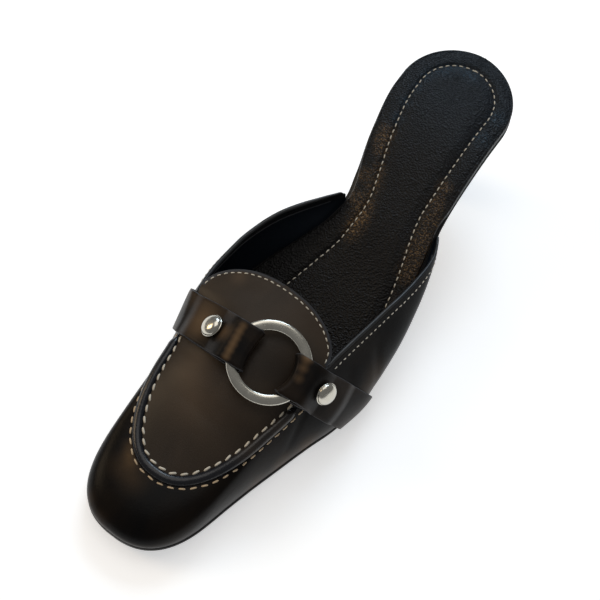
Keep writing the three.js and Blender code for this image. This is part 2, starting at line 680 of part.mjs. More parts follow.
const OVER_STEPS = 34;
const FOLD_STEPS = 6;
const UNDER_STEPS = 16;
function strap(side) {
  const paths = STRAP_COLUMNS.map((across) => {
    const { over, under, folded, fold, whole } = strapLine(side, across);
    const path = [];
    for (let i = 0; i <= OVER_STEPS; i++) path.push(over(mix(whole, fold, i / OVER_STEPS)));
    for (let i = 1; i < FOLD_STEPS; i++) path.push(folded(Math.PI * (0.5 - i / FOLD_STEPS)));
    for (let i = 0; i <= UNDER_STEPS; i++) path.push(under(mix(fold, underEnd(side), i / UNDER_STEPS)));
    return path;
  });
  const last = paths[0].length - 1;
  const outward = (i, j) => {
    const along = paths[j][Math.min(i + 1, last)].clone().sub(paths[j][Math.max(i - 1, 0)]);
    const over = paths[Math.min(j + 1, paths.length - 1)][i].clone().sub(paths[Math.max(j - 1, 0)][i]);
    return along.cross(over).multiplyScalar(side).normalize();
  };
  const rings = paths[0].map((_, i) => [
    ...paths.map((path) => path[i]),
    ...paths.map((path, j) => path[i].clone().addScaledVector(outward(i, j), STRAP_THICKNESS)).reverse(),
  ]);
  return loft(rings);
}

// A turned solid, set down along a direction.
function turned(profile, segments, point, direction) {
  const points = profile.map(([radius, height]) => new THREE.Vector2(radius, height));
  const geometry = new THREE.LatheGeometry(points, segments);
  geometry.applyQuaternion(new THREE.Quaternion().setFromUnitVectors(vector(0, 1, 0), direction));
  geometry.translate(point.x, point.y, point.z);
  return fromGeometry(geometry);
}

const RING_SEGMENTS = 36;
function ringSolid() {
  const middle = RING_RADIUS - RING_BAR / 2;
  const sides = 8;
  const profile = Array.from({ length: sides + 1 }, (_, k) => {
    const angle = (2 * Math.PI * (k % sides)) / sides;
    const flat = (v) => Math.sign(v) * Math.abs(v) ** 0.7;
    return [
      middle + (RING_BAR / 2) * flat(Math.cos(angle)),
      (RING_THICKNESS / 2) * flat(Math.sin(angle)),
    ];
  });
  return turned(profile, RING_SEGMENTS, ring.middle, ring.normal);
}

// A stud rests on the highest places of the strap below its rim.
const STUD_SEGMENTS = 20;
const STUD_PLACES = 8;
function stud(side) {
  const run = studRun(side);
  const across = -ofSide(STUD_ASIDE, side);
  const place = (k, reach) => {
    const angle = (2 * Math.PI * k) / STUD_PLACES;
    return strapLine(side, across + reach * Math.sin(angle)).over(run + reach * Math.cos(angle));
  };
  const rim = Array.from({ length: STUD_PLACES }, (_, k) => place(k, STUD_RADIUS));
  const middle = place(0, 0);
  const [out, front, near, back] = [0, 1, 2, 3].map((k) => rim[(k * STUD_PLACES) / 4]);
  const normal = out.clone().sub(near).cross(front.clone().sub(back)).normalize();
  if (normal.z < 0) normal.negate();
  const proud = [middle, ...rim].map((point) => point.clone().sub(middle).dot(normal));
  const off = Math.max(...proud) + STRAP_THICKNESS + CLEARANCE;
  const base = middle.clone().addScaledVector(normal, off);
  const dome = Array.from({ length: 5 }, (_, k) => {
    const angle = (Math.PI / 2) * (k / 4);
    return [STUD_RADIUS * Math.cos(angle), STUD_RIM + STUD_DOME * Math.sin(angle)];
  });
  dome[dome.length - 1][0] = 0;
  return turned([[0, 0], [STUD_RADIUS, 0], ...dome], STUD_SEGMENTS, base, normal);
}

// The heel's section: a flat breast with eased corners and a round back.
const HEEL_POINTS = 14;
const BREAST_EASE = 0.12;
const halfOf = through(HEEL_LINE, (row) => row.half * SEAT_WIDTH);
const backOf = through(HEEL_LINE, (row) => row.back * SEAT_WIDTH);
const breastOf = through(HEEL_LINE, (row) => row.breast * SEAT_WIDTH);
function heelRing(share, z) {
  const half = halfOf(share);
  const back = -backOf(share);
  const breast = -breastOf(share);
  return Array.from({ length: HEEL_POINTS + 1 }, (_, k) => {
    const angle = mix(-BREAST_EASE, Math.PI + BREAST_EASE, k / HEEL_POINTS);
    const round = (v) => Math.sign(v) * Math.abs(v) ** (2 / HEEL_SQUARENESS);
    const y = breast + (back - breast) * (0.1 + 0.9 * round(Math.sin(angle)));
    const limit = (side) => outlineX(-y / LENGTH, side, HEEL_INSIDE);
    return [clamp(half * round(Math.cos(angle)), limit(INNER), limit(OUTER)), y, z];
  });
}

const HEEL_STEPS = 16;
function heel() {
  const seat = soleTop(0) - SOLE_THICKNESS;
  const rings = [];
  for (let i = 0; i <= HEEL_STEPS; i++) {
    const share = i / HEEL_STEPS;
    rings.push(heelRing(share, mix(TOP_PIECE + CLEARANCE, seat + 1, share)));
  }
  const sky = 2 * LENGTH;
  const over = soleStations(SOLE_STEPS).map((at) => {
    const y = -at * LENGTH;
    const bottom = soleTop(at) - SOLE_THICKNESS - CLEARANCE;
    return [
      [-BALL_WIDTH, y, bottom],
      [-BALL_WIDTH, y, sky],
      [BALL_WIDTH, y, sky],
      [BALL_WIDTH, y, bottom],
    ];
  });
  over.unshift(over[0].map(([x, , z]) => [x, SEAT_WIDTH, z]));
  return loft(rings).subtract(loft(over));
}

function heelTopPiece() {
  return loft([heelRing(0, 0), heelRing(0, TOP_PIECE)]);
}

const solids = {
  outsole: outsole(),
  heel: heel(),
  heel_top_piece: heelTopPiece(),
  insole: insole(),
  upper: upper(),
  strap_inner: strap(INNER),
  strap_outer: strap(OUTER),
  ring: ringSolid(),
  stud_inner: stud(INNER),
  stud_outer: stud(OUTER),
};

const material = (name, color, roughness, metalness = 0) =>
  new THREE.MeshStandardMaterial({ name, color, roughness, metalness });
const coveredLeather = material("black leather", 0x1a1817, 0.45);
const strapLeather = material("strap leather", 0x2a241f, 0.45);
const nickel = material("polished nickel", 0xbdbcb4, 0.25, 1);
const MATERIALS = {
  outsole: material("sole", 0x12100e, 0.6),
  heel: coveredLeather,
  heel_top_piece: material("top piece rubber", 0x141414, 0.75),
  insole: material("sock leather", 0x20242a, 0.5),
  upper: material("vamp leather", 0x231d19, 0.42),
  strap_inner: strapLeather,
  strap_outer: strapLeather,
  ring: nickel,
  stud_inner: nickel,
  stud_outer: nickel,
};

// The origin is on the floor, under the middle of the heel's top piece.
const [TIP] = HEEL_LINE;
const toOrigin = [0, ((TIP.back + TIP.breast) / 2) * SEAT_WIDTH, 0];

const shoe = new THREE.Group();
for (const [name, solid] of Object.entries(solids)) {
  const mesh = new THREE.Mesh(toGeometry(solid.translate(toOrigin)), MATERIALS[name]);
  mesh.name = name;
  shoe.add(mesh);
}

export default shoe;
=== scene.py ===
import math

import bpy
import numpy as np
from mathutils import Matrix, Vector


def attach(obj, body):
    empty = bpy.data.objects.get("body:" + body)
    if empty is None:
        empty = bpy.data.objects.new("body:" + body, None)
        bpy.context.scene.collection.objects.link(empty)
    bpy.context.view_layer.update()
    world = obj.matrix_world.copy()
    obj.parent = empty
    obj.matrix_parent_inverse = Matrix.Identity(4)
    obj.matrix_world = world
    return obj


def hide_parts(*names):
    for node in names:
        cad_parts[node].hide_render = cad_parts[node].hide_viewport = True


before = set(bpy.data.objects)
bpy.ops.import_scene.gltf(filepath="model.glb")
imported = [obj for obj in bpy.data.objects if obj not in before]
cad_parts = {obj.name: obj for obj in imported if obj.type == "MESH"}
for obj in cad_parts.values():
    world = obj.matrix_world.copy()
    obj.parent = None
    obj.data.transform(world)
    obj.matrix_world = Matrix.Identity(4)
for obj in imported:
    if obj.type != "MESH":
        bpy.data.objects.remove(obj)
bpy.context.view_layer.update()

# Outsole: one thin plate of black resin, from the square toe along the arch to the heel seat.
# Its edge is trimmed, rounded below and inked black. The last's own lines are set down here too,
# because every other piece is made on the same last.
MM = 0.001
LENGTH = 250
BALL_WIDTH = 78
SEAT_WIDTH = 52
SEAT_RISE = 51
TOE_SPRING = 3.5
SOLE_THICKNESS = 3
CLEARANCE = 0.3
TO_HEEL_MIDDLE = 0.524 * SEAT_WIDTH  # the origin lies this far in front of the seat's back
INNER, OUTER = -1, 1

OUTLINE = [
    # at, inner half width, outer half width, share of which width
    (0, 0.5, 0.5, SEAT_WIDTH),
    (0.13, 0.49, 0.5, SEAT_WIDTH),
    (0.22, 0.41, 0.51, SEAT_WIDTH),
    (0.29, 0.205, 0.355, BALL_WIDTH),
    (0.335, 0.172, 0.392, BALL_WIDTH),
    (0.37, 0.195, 0.43, BALL_WIDTH),
    (0.42, 0.27, 0.475, BALL_WIDTH),
    (0.5, 0.385, 0.52, BALL_WIDTH),
    (0.58, 0.445, 0.535, BALL_WIDTH),
    (0.64, 0.45, 0.505, BALL_WIDTH),
    (0.7, 0.432, 0.45, BALL_WIDTH),
    (0.76, 0.405, 0.4, BALL_WIDTH),
    (0.82, 0.375, 0.353, BALL_WIDTH),
    (0.9, 0.345, 0.305, BALL_WIDTH),
    (1, 0.315, 0.275, BALL_WIDTH),
]
TOE_START = 0.87
TOE_SQUARENESS = 2.6
SOLE_LINE = [
    # at, rise, spring
    (0, 1, 0),
    (0.155, 0.865, 0),
    (0.33, 0.553, 0),
    (0.45, 0.27, 0),
    (0.55, 0.085, 0),
    (0.62, 0.012, 0),
    (0.66, 0, 0),
    (0.77, 0, 0),
    (0.84, 0, 0.16),
    (0.92, 0, 0.5),
    (1, 0, 1),
]


def through(at, values):
    """A smooth curve through the rows of a table, with no overshoot between them."""
    x = np.array(at, float)
    y = np.array(values, float)
    step = np.diff(x)
    slope = np.diff(y) / step
    tangent = np.zeros(len(x))
    tangent[0], tangent[-1] = slope[0], slope[-1]
    for i in range(1, len(x) - 1):
        if slope[i - 1] * slope[i] > 0:
            a = 2 * step[i] + step[i - 1]
            b = step[i] + 2 * step[i - 1]
            tangent[i] = (a + b) / (a / slope[i - 1] + b / slope[i])

    def curve(places):
        t = np.clip(places, x[0], x[-1])
        i = np.clip(np.searchsorted(x, t) - 1, 0, len(step) - 1)
        h = step[i]
        u = (t - x[i]) / h
        return (
            y[i] * (1 + 2 * u) * (1 - u) ** 2
            + h * tangent[i] * u * (1 - u) ** 2
            + y[i + 1] * u * u * (3 - 2 * u)
            + h * tangent[i + 1] * u * u * (u - 1)
        )

    return curve


def smooth(value, low, high):
    u = np.clip((value - low) / (high - low), 0, 1)
    return u * u * (3 - 2 * u)


def mix(a, b, share):
    return a + (b - a) * share


def column(table, index):
    return [row[index] for row in table]


def ruled(table, index, size=1):
    """A smooth curve through one column of a table, whose first column says where."""
    return through(column(table, 0), [value * size for value in column(table, index)])


inner_width = through(column(OUTLINE, 0), [row[1] * row[3] for row in OUTLINE])
outer_width = through(column(OUTLINE, 0), [row[2] * row[3] for row in OUTLINE])
sole_top = through(
    column(SOLE_LINE, 0),
    [SOLE_THICKNESS + row[1] * SEAT_RISE + row[2] * TOE_SPRING for row in SOLE_LINE],
)


def round_end(into, power):
    return (1 - np.clip(into, 0, 1) ** power) ** (1 / power)


def outline_x(at, side, inset=0):
    middle = (outer_width(at) - inner_width(at)) / 2
    half = (outer_width(at) + inner_width(at)) / 2 - inset
    toe = round_end((at - TOE_START) / (1 - TOE_START), TOE_SQUARENESS)
    heel_round = SEAT_WIDTH / 2 / LENGTH
    return middle + side * half * toe * round_end(1 - at / heel_round, 2)


def measured(point, low, high):
    """Places between low and high that are spaced evenly along a curve, by a share of its run."""
    at = mix(low, high, 1 - np.cos(np.pi / 2 * np.linspace(0, 1, 1501)))
    spots = np.stack(point(at), -1)
    run = np.concatenate([[0], np.cumsum(np.linalg.norm(np.diff(spots, axis=0), axis=1))])
    return lambda share: np.interp(np.clip(share, 0, 1) * run[-1], run, at)


def sole_places(count):
    """Places along the sole that space its outline evenly, from heel to toe."""
    edge = 0.0004
    sides = lambda at: (outline_x(at, OUTER), -at * LENGTH)
    front = measured(sides, 0.5, 1 - edge)
    rear = measured(sides, 0.5, edge)
    back = 1 - (1 - np.arange(count, 0, -1) / count) ** 1.15
    return np.concatenate([rear(back), front(np.linspace(0, 1, count + 1))])


def points(x, y, z):
    """Points from coordinates that may be arrays or single numbers."""
    return np.stack(np.broadcast_arrays(*(np.asarray(v, float) for v in (x, y, z))), -1)


def unit(v):
    return v / np.maximum(np.linalg.norm(v, axis=-1, keepdims=True), 1e-12)


def meshed(name, spots, faces, finishes):
    """A visible mesh from points in millimetres from the back of the seat."""
    mesh = bpy.data.meshes.new(name)
    mesh.from_pydata(((spots + (0, TO_HEEL_MIDDLE, 0)) * MM).tolist(), [], faces)
    for finish in finishes:
        mesh.materials.append(finish)
    mesh.shade_smooth()
    piece = bpy.data.objects.new(name, mesh)
    bpy.context.scene.collection.objects.link(piece)
    return piece


def surface(name, grid, finishes, around=False, along=False, ends=False, turn=False, finish_of=None):
    """A mesh over a grid of points. Around and along close it, and ends puts faces over its ends."""
    rows, cols = grid.shape[:2]
    i = np.arange(rows if along else rows - 1)[:, None]
    j = np.arange(cols if around else cols - 1)[None, :]
    a = i * cols + j
    b = i * cols + (j + 1) % cols
    c = (i + 1) % rows * cols + (j + 1) % cols
    d = (i + 1) % rows * cols + j
    faces = np.stack([a, b, c, d] if turn else [d, c, b, a], -1).reshape(-1, 4).tolist()
    if ends:
        first = list(range(cols))
        last = [(rows - 1) * cols + k for k in range(cols)]
        faces.append(first[::-1] if turn else first)
        faces.append(last if turn else last[::-1])
    piece = meshed(name, grid.reshape(-1, 3), faces, finishes)
    if finish_of is not None:
        kinds = np.broadcast_to(finish_of(i, j), (i.size, j.size)).reshape(-1).tolist()
        kinds += [kinds[-1]] * (len(faces) - len(kinds))
        piece.data.polygons.foreach_set("material_index", kinds)
    return piece


class Amount:
    """A shader value that takes part in arithmetic."""

    def __init__(self, finish, socket):
        self.finish = finish
        self.socket = socket

    def worked(self, operation, *others):
        return self.finish.math(operation, self, *others)

    def __add__(self, other):
        return self.worked("ADD", other)

    def __sub__(self, other):
        return self.worked("SUBTRACT", other)

    def __mul__(self, other):
        return self.worked("MULTIPLY", other)

    def __rsub__(self, other):
        return self.finish.math("SUBTRACT", other, self)

    __radd__ = __add__
    __rmul__ = __mul__


class Finish:
    """A material while its nodes are being set out."""

    def __init__(self, name, **constants):
        self.material = bpy.data.materials.new(name)
        self.material.use_nodes = True
        self.tree = self.material.node_tree
        self.shader = self.tree.nodes["Principled BSDF"]
        for words, value in constants.items():
            self.shader.inputs[words.replace("_", " ")].default_value = value
        self.place = self.node("ShaderNodeTexCoord").outputs["Object"]

    def node(self, kind, settings=None, inputs=None):
        node = self.tree.nodes.new(kind)
        for key, value in (settings or {}).items():
            setattr(node, key, value)
        for key, value in (inputs or {}).items():
            self.feed(node.inputs[key], value)
        return node

    def feed(self, socket, value):
        if isinstance(value, Amount):
            value = value.socket
        if isinstance(value, bpy.types.NodeSocket):
            self.tree.links.new(value, socket)
        else:
            socket.default_value = value

    def math(self, operation, *values):
        node = self.node("ShaderNodeMath", {"operation": operation}, dict(enumerate(values)))
        return Amount(self, node.outputs[0])

    def between(self, value, low, high):
        """0 below low, 1 above high, and smooth between the two."""
        inputs = {"Value": value, "From Min": low, "From Max": high}
        node = self.node("ShaderNodeMapRange", {"interpolation_type": "SMOOTHSTEP"}, inputs)
        return Amount(self, node.outputs["Result"])

    def color(self, share, low, high):
        """A colour that goes from low to high as share goes from 0 to 1."""
        node = self.node("ShaderNodeMix", {"data_type": "RGBA"}, {0: share, 6: low, 7: high})
        return node.outputs[2]

    def stretched(self, scale):
        inputs = {"Vector": self.place, "Scale": scale}
        return self.node("ShaderNodeMapping", None, inputs).outputs["Vector"]

    def noise(self, size, detail=2, roughness=0.5, distortion=0, vector=None):
        """Soft noise whose lumps are about that many millimetres across."""
        inputs = {
            "Vector": vector or self.place,
            "Scale": 1 / (size * MM),
            "Detail": detail,
            "Roughness": roughness,
            "Distortion": distortion,
        }
        return Amount(self, self.node("ShaderNodeTexNoise", None, inputs).outputs["Fac"])

    def cells(self, size, vector=None, feature="F1"):
        """Distance to the middle or the edge of cells about that many millimetres across."""
        inputs = {"Vector": vector or self.place, "Scale": 1 / (size * MM), "Randomness": 1}
        node = self.node("ShaderNodeTexVoronoi", {"feature": feature}, inputs)
        return Amount(self, node.outputs["Distance"])

    def distance(self, spot):
        """How far a point lies from a spot, in millimetres."""
        inputs = {0: self.place, 1: [v * MM for v in spot]}
        node = self.node("ShaderNodeVectorMath", {"operation": "DISTANCE"}, inputs)
        return Amount(self, node.outputs["Value"]) * (1 / MM)

    def along(self, axis):
        """How far a point lies along an axis of the shoe, in millimetres from the origin."""
        node = self.node("ShaderNodeSeparateXYZ", None, {0: self.place})
        return Amount(self, node.outputs[axis]) * (1 / MM)

    def relief(self, height, depth):
        """Bumps of up to that depth in millimetres."""
        inputs = {"Height": height, "Distance": depth * MM, "Strength": 1}
        self.feed(self.shader.inputs["Normal"], self.node("ShaderNodeBump", None, inputs).outputs[0])

    def paint(self, **sockets):
        for words, value in sockets.items():
            self.feed(self.shader.inputs[words.replace("_", " ")], value)
        return self.material


def sole_finish():
    finish = Finish("sole resin", Specular_IOR_Level=0.4)
    grain = finish.noise(0.5, 3, 0.6)
    worn = finish.noise(14, 4, 0.65)
    tread = 1 - finish.between(finish.along("Z"), 0.3, 2.5)
    wear_and_sheen = finish.between(worn, 0.45, 0.7) * tread
    finish.relief(grain * 0.5 + worn * wear_and_sheen, 0.08)
    return finish.paint(
        Base_Color=finish.color(wear_and_sheen, (0.012, 0.011, 0.011, 1), (0.05, 0.045, 0.04, 1)),
        Roughness=0.42 + grain * 0.15 + wear_and_sheen * 0.3,
    )


SOLE_EDGE = 0.3  # the sole stands this far past the upper
SOLE_BEVEL = 1.4
JOIN_INNER = 0.335  # where the topline meets the sole
JOIN_OUTER = 0.31


def outsole_grid():
    at = sole_places(110)[:, None]
    past = -SOLE_EDGE * smooth(at, JOIN_OUTER - 0.05, JOIN_OUTER + 0.05)
    low = sole_top(at) - SOLE_THICKNESS
    top = sole_top(at) - CLEARANCE / 2
    inner = outline_x(at, INNER, past)
    outer = outline_x(at, OUTER, past)
    bevel = np.minimum(SOLE_BEVEL, (outer - inner) / 4)
    turn = np.linspace(0, np.pi / 2, 6)[None, :]
    flat = np.linspace(0, 1, 14)[None, 1:-1]
    left = points(inner + bevel * (1 - np.sin(turn)), -at * LENGTH, low + SOLE_BEVEL * (1 - np.cos(turn)))
    right = points(outer - bevel * (1 - np.cos(turn)), -at * LENGTH, low + SOLE_BEVEL * (1 - np.sin(turn)))
    over = points(mix(inner, outer, np.linspace(0, 1, 14)[None, :]), -at * LENGTH, top)
    under = points(mix(outer - bevel, inner + bevel, flat), -at * LENGTH, low)
    return np.concatenate([left, over, right, under], 1)


outsole = surface("outsole_look", outsole_grid(), [sole_finish()], around=True, ends=True)
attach(outsole, "root")
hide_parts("outsole")

# Heel: a moulded kitten heel wrapped in the same black leather, flat at the breast and round at
# the back. The wrap is drawn up over the breast and glued under the seat.
TOP_PIECE = 4.5
HEEL_SQUARENESS = 2.3
BREAST_EASE = 0.12  # radians that the round runs on past the heel's sides, to the breast
HEEL_INSIDE = 0.9  # the heel's top stays this far inside the sole's edge
HEEL_LINE = [
    # at, half width, back, breast, as shares of the seat's width
    (0, 0.123, 0.414, 0.634),
    (0.2, 0.129, 0.396, 0.642),
    (0.4, 0.15, 0.346, 0.669),
    (0.6, 0.204, 0.254, 0.715),
    (0.78, 0.3, 0.131, 0.781),
    (0.9, 0.41, 0.046, 0.846),
    (1, 0.473, 0.025, 0.904),
]
heel_half, heel_back, heel_breast = (ruled(HEEL_LINE, k, SEAT_WIDTH) for k in (1, 2, 3))


def heel_section(share, z, count, inset=0):
    angle = np.linspace(-BREAST_EASE, np.pi + BREAST_EASE, count)[None, :]
    wide, deep = (np.sign(v) * np.abs(v) ** (2 / HEEL_SQUARENESS) for v in (np.cos(angle), np.sin(angle)))
    breast = -heel_breast(share) + inset
    depth = heel_breast(share) - heel_back(share) - 2 * inset
    y = breast + depth * (0.1 + 0.9 * deep)
    inner, outer = (outline_x(-y / LENGTH, side, HEEL_INSIDE) for side in (INNER, OUTER))
    return points(np.clip((heel_half(share) - inset) * wide, inner, outer), y, z)


def heel_grid():
    share = np.linspace(0, 1, 90)[:, None]
    seat = sole_top(0) - SOLE_THICKNESS
    grid = heel_section(share, mix(TOP_PIECE + CLEARANCE, seat + 1, share), 72)
    under_seat = sole_top(-grid[..., 1] / LENGTH) - SOLE_THICKNESS - CLEARANCE
    grid[..., 2] = np.minimum(grid[..., 2], under_seat)
    return grid


def smooth_leather(
    name, dark, warm, roughness, patch=22, grain=0.05, wear_and_sheen=(), even=0.35, gloss=0.2, uneven=6
):
    """Finished leather: fine pores, soft wrinkles, warmer cloudy places, and painted warm sheen.

    Patch is the size of its cloudy places and grain its relief, in millimetres. Even is the share
    of warm colour all over. Each place of painted sheen has x, y, z, reach in millimetres, and
    strength; uneven is how far its edge wanders.
    uneven is how far its edge wanders.
    """
    finish = Finish(name, Specular_IOR_Level=gloss)
    pores = finish.cells(0.55)
    fine = finish.noise(0.25, 3, 0.6)
    soft = finish.noise(patch, 3, 0.55, 0.6)
    wrinkle = finish.noise(6, 4, 0.6, 1.2)
    tone_and_sheen = finish.between(soft, 0.3, 0.75) * even
    # Painted sheen: each listed place is painted warmer and lighter, standing in for a warm reflection.
    for x, y, z, reach, strength in wear_and_sheen:
        far = finish.distance((x, y, z)) + soft * uneven
        tone_and_sheen = tone_and_sheen + (1 - finish.between(far, 0, reach)) * strength
    scuffs = finish.noise(0.9, 5, 0.75, 0, finish.stretched((0.35, 1, 1)))
    marks = finish.between(scuffs, 0.66, 0.78) * finish.between(soft, 0.5, 0.6)
    finish.relief(pores * 0.5 + fine * 0.35 + wrinkle * 1.2 - marks * 0.6, grain)
    return finish.paint(
        Base_Color=finish.color(tone_and_sheen, (*dark, 1), (*warm, 1)),
        Roughness=roughness + fine * 0.08 + tone_and_sheen * 0.05 + marks * 0.2,
    )


heel_leather = smooth_leather("heel leather", (0.006, 0.006, 0.007), (0.016, 0.013, 0.011), 0.3)
heel = surface("heel_cover", heel_grid(), [heel_leather], around=True, ends=True)
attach(heel, "root")
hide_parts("heel")

# Top piece: the hard rubber lift on the tip of the heel, cut to the heel's own section with its
# lower edge eased, and nailed on from below.
TOP_PIECE_EASE = 0.35


def top_piece_finish():
    finish = Finish("top piece rubber", Specular_IOR_Level=0.35)
    grain = finish.noise(0.4, 3, 0.6)
    finish.relief(grain, 0.06)
    return finish.paint(
        Base_Color=finish.color(grain, (0.012, 0.012, 0.012, 1), (0.03, 0.03, 0.03, 1)),
        Roughness=0.55 + grain * 0.2,
    )


def top_piece_grid():
    rows = [(TOP_PIECE_EASE, 0), (0.1, 0.1), (0, TOP_PIECE_EASE), (0, TOP_PIECE - 0.1), (0.1, TOP_PIECE)]
    return np.concatenate([heel_section(np.zeros((1, 1)), z, 72, inset) for inset, z in rows])


top_piece = surface("heel_lift", top_piece_grid(), [top_piece_finish()], around=True, ends=True)
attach(top_piece, "root")
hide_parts("heel_top_piece")

# Insole: a board covered in soft black grained leather that is wrapped round its edge. Foam lies
# under the leather inside a row of stitches that runs up one side, round the heel and back.
INSOLE_THICKNESS = 4.2
INSOLE_EDGE = 1.1  # the leather is wrapped round this edge
INSOLE_FRONT = 0.975
WALL = 2  # vamp leather and lining together
SKIVED = 0.5  # share of the wall's thickness left where it runs out beside the insole
NOTCH = 0.632  # where topline and tongue part, under the strap
PAD_PUFF = 1.2
MARGIN_PUFF = 0.35
GROOVE = 0.45  # how deep the stitches are drawn in
EDGE_LINE = 1.7  # a fine line is creased into the leather this far inside the edge
STITCH_LINE = [
    # at, distance of the stitches from the inner and the outer edge
    (0, 7.6, 7.6),
    (0.1, 9, 8.6),
    (0.25, 9.2, 9.2),
    (0.34, 10, 10.2),
    (0.42, 13.5, 10.6),
    (0.6, 20, 12),
]
stitch_inset = {INNER: ruled(STITCH_LINE, 1), OUTER: ruled(STITCH_LINE, 2)}


def edge_distance(spots):
    """How far points of the bed lie inside the outline, in plan."""
    at = sole_places(220)
    rim = np.concatenate([points(outline_x(at, side), -at * LENGTH, 0)[:, :2] for side in (INNER, OUTER)])
    flat = np.array_split(spots.reshape(-1, 3)[:, :2], 40)
    near = [np.min(np.linalg.norm(rim[None] - part[:, None], axis=2), axis=1) for part in flat]
    return np.concatenate(near).reshape(spots.shape[:-1])


def padding(distance, at, side):
    """Height that foam and stitches give the bed's leather; side goes from inner to outer."""
    inset = mix(stitch_inset[INNER](at), stitch_inset[OUTER](at), (side + 1) / 2)
    from_seam = distance - inset
    inside = smooth(from_seam, 0, 5.5) * PAD_PUFF * (0.55 + 0.45 * (1 - smooth(at, 0.15, 0.3)))
    margin = smooth(-from_seam, 0, 2.2) * (1 - smooth(-from_seam, 4.5, 7.4)) * MARGIN_PUFF
    groove = -GROOVE * np.exp(-((from_seam / 0.75) ** 2))
    edge_line = -0.16 * np.exp(-(((distance - EDGE_LINE) / 0.35) ** 2))
    return inside + margin + groove + edge_line


def bed_top(at):
    slim = smooth(at, (JOIN_INNER + JOIN_OUTER) / 2, NOTCH)
    return sole_top(at) + CLEARANCE / 2 + mix(INSOLE_THICKNESS, INSOLE_THICKNESS / 2, slim)


def insole_grid():
    at = (sole_places(170) * INSOLE_FRONT + 0.0004)[:, None]
    join = (JOIN_INNER + JOIN_OUTER) / 2
    skived = mix(CLEARANCE, WALL * SKIVED + 2 * CLEARANCE, smooth(at, join - 0.06, join - 0.01))
    inset = mix(skived, WALL + 3 * CLEARANCE, smooth(at, join, join + 0.06))
    low = sole_top(at) + CLEARANCE / 2
    top = bed_top(at)
    turned = round_end((at - 0.86) / (INSOLE_FRONT + 0.0005 - 0.86), TOE_SQUARENESS)
    middle = (outline_x(at, OUTER) + outline_x(at, INNER)) / 2
    half = np.maximum((outline_x(at, OUTER, inset) - outline_x(at, INNER, inset)) / 2, 0.3)
    reach = np.where(at > 0.86, np.minimum(half, half * turned + 0.3), half)
    ease = np.minimum(INSOLE_EDGE, reach / 3)
    turn = np.linspace(0, np.pi / 2, 6)[None, :]
    side_x = reach - ease * (1 - np.cos(turn))
    side_z = top - INSOLE_EDGE * (1 - np.sin(turn))
    flat = np.sin(np.pi / 2 * np.linspace(-1, 1, 132))[None, 1:-1]
    over = points(middle + (reach - ease) * flat, -at * LENGTH, top)
    left = points(middle - side_x, -at * LENGTH, side_z)
    right = points(middle + side_x[:, ::-1], -at * LENGTH, side_z[:, ::-1])
    foot = np.array([[0, 1]])
    rim = top - INSOLE_EDGE
    under_left = points(middle - reach + 0 * foot, -at * LENGTH, mix(low, rim, foot * 0.8))
    under_right = points(middle + reach + 0 * foot, -at * LENGTH, mix(rim, low, 0.2 + foot * 0.8))
    grid = np.concatenate([under_left, left, over, right, under_right], 1)
    raised = slice(left.shape[1], left.shape[1] + over.shape[1] + 4)
    part = grid[:, raised]
    distance = edge_distance(part)
    side = np.clip((part[..., 0] - middle) / 6, -1, 1)
    part[..., 2] += padding(distance, at, side) * smooth(distance, 0.5, 1.6)
    return grid


BRONZE_GLINT_PLACES = [
    # x, y, z and reach of painted bronze glints, in millimetres from the origin
    (-15, -27, 47, 6),
    (-14, -31, 45.4, 5.5),
    (-12, -35, 44, 5),
    (-8, -42, 41, 5.5),
    (-6, -48, 38.5, 6),
    (-12.5, -47, 39, 5),
    (-4.5, -55.5, 35.5, 7),
    (-11, -56, 35.5, 5.5),
    (-3, -60, 33.5, 7.5),
    (-2.5, -64, 31.5, 7.5),
    (-2, -68, 29.5, 6.5),
    (19.5, -34, 44, 5.5),
    (21, -41, 41.5, 6),
    (23, -48, 39, 7),
    (24.5, -55, 36, 7.5),
    (26, -62, 33, 8),
    (27.5, -69, 29, 8),
]
BLUE_GLINT_PLACES = [
    # x, y, z and reach of painted blue glints on the grain
    (-15, 5, 54, 6),
    (-11, 11, 55.5, 6),
    (-6, 15, 56, 6),
    (0, 15, 56, 6),
    (-16, -3, 53, 5),
    (-16, -11, 51, 5),
    (-14, -19, 49, 5),
    (20, 4, 55, 6),
    (20, -8, 52, 6),
]


def bed_finish():
    finish = Finish("bed leather", Specular_IOR_Level=0.18)
    pebbles = finish.cells(0.8)
    creases = finish.cells(1.4, feature="DISTANCE_TO_EDGE", vector=finish.stretched((1, 0.6, 1)))
    fine = finish.noise(0.5, 4, 0.65)
    wrinkle = finish.noise(1.9, 4, 0.62, 0.8)
    finish.relief(pebbles * 1.2 + fine * 0.6 + wrinkle * 0.8 + creases * 0.3, 0.26)
    # Painted cool sheen: the base colour turns bluish towards the heel.
    cool_heel_sheen = finish.between(finish.along("Y"), -45, 20)
    base = finish.color(cool_heel_sheen, (0.0045, 0.0038, 0.0036, 1), (0.002, 0.0045, 0.008, 1))
    bronze_glint = blue_glint = 0
    # Painted glints: bronze specks along the margins at the waist, and blue specks at the pad's edge round
    # the heel.
    for x, y, z, reach in BRONZE_GLINT_PLACES:
        bronze_glint = bronze_glint + (1 - finish.between(finish.distance((x, y, z)), 0, reach)) * 0.4
    for x, y, z, reach in BLUE_GLINT_PLACES:
        blue_glint = blue_glint + (1 - finish.between(finish.distance((x, y, z)), 0, reach)) * 0.5
    specks = finish.noise(0.8, 3, 0.75)
    bright = finish.between(specks, 0.5, 0.64) * 0.9 + 0.06
    glints = bright * bronze_glint
    base = finish.color(bright * blue_glint, base, (0.05, 0.11, 0.17, 1))
    return finish.paint(
        Base_Color=finish.color(glints, base, (0.42, 0.25, 0.11, 1)),
        Roughness=0.22 + fine * 0.16 - glints * 0.1,
    )


insole = surface("insole_cover", insole_grid(), [bed_finish()], around=True, ends=True)
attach(insole, "root")
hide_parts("insole")


def run_of(path):
    return np.concatenate([[0], np.cumsum(np.linalg.norm(np.diff(path, axis=0), axis=1))])


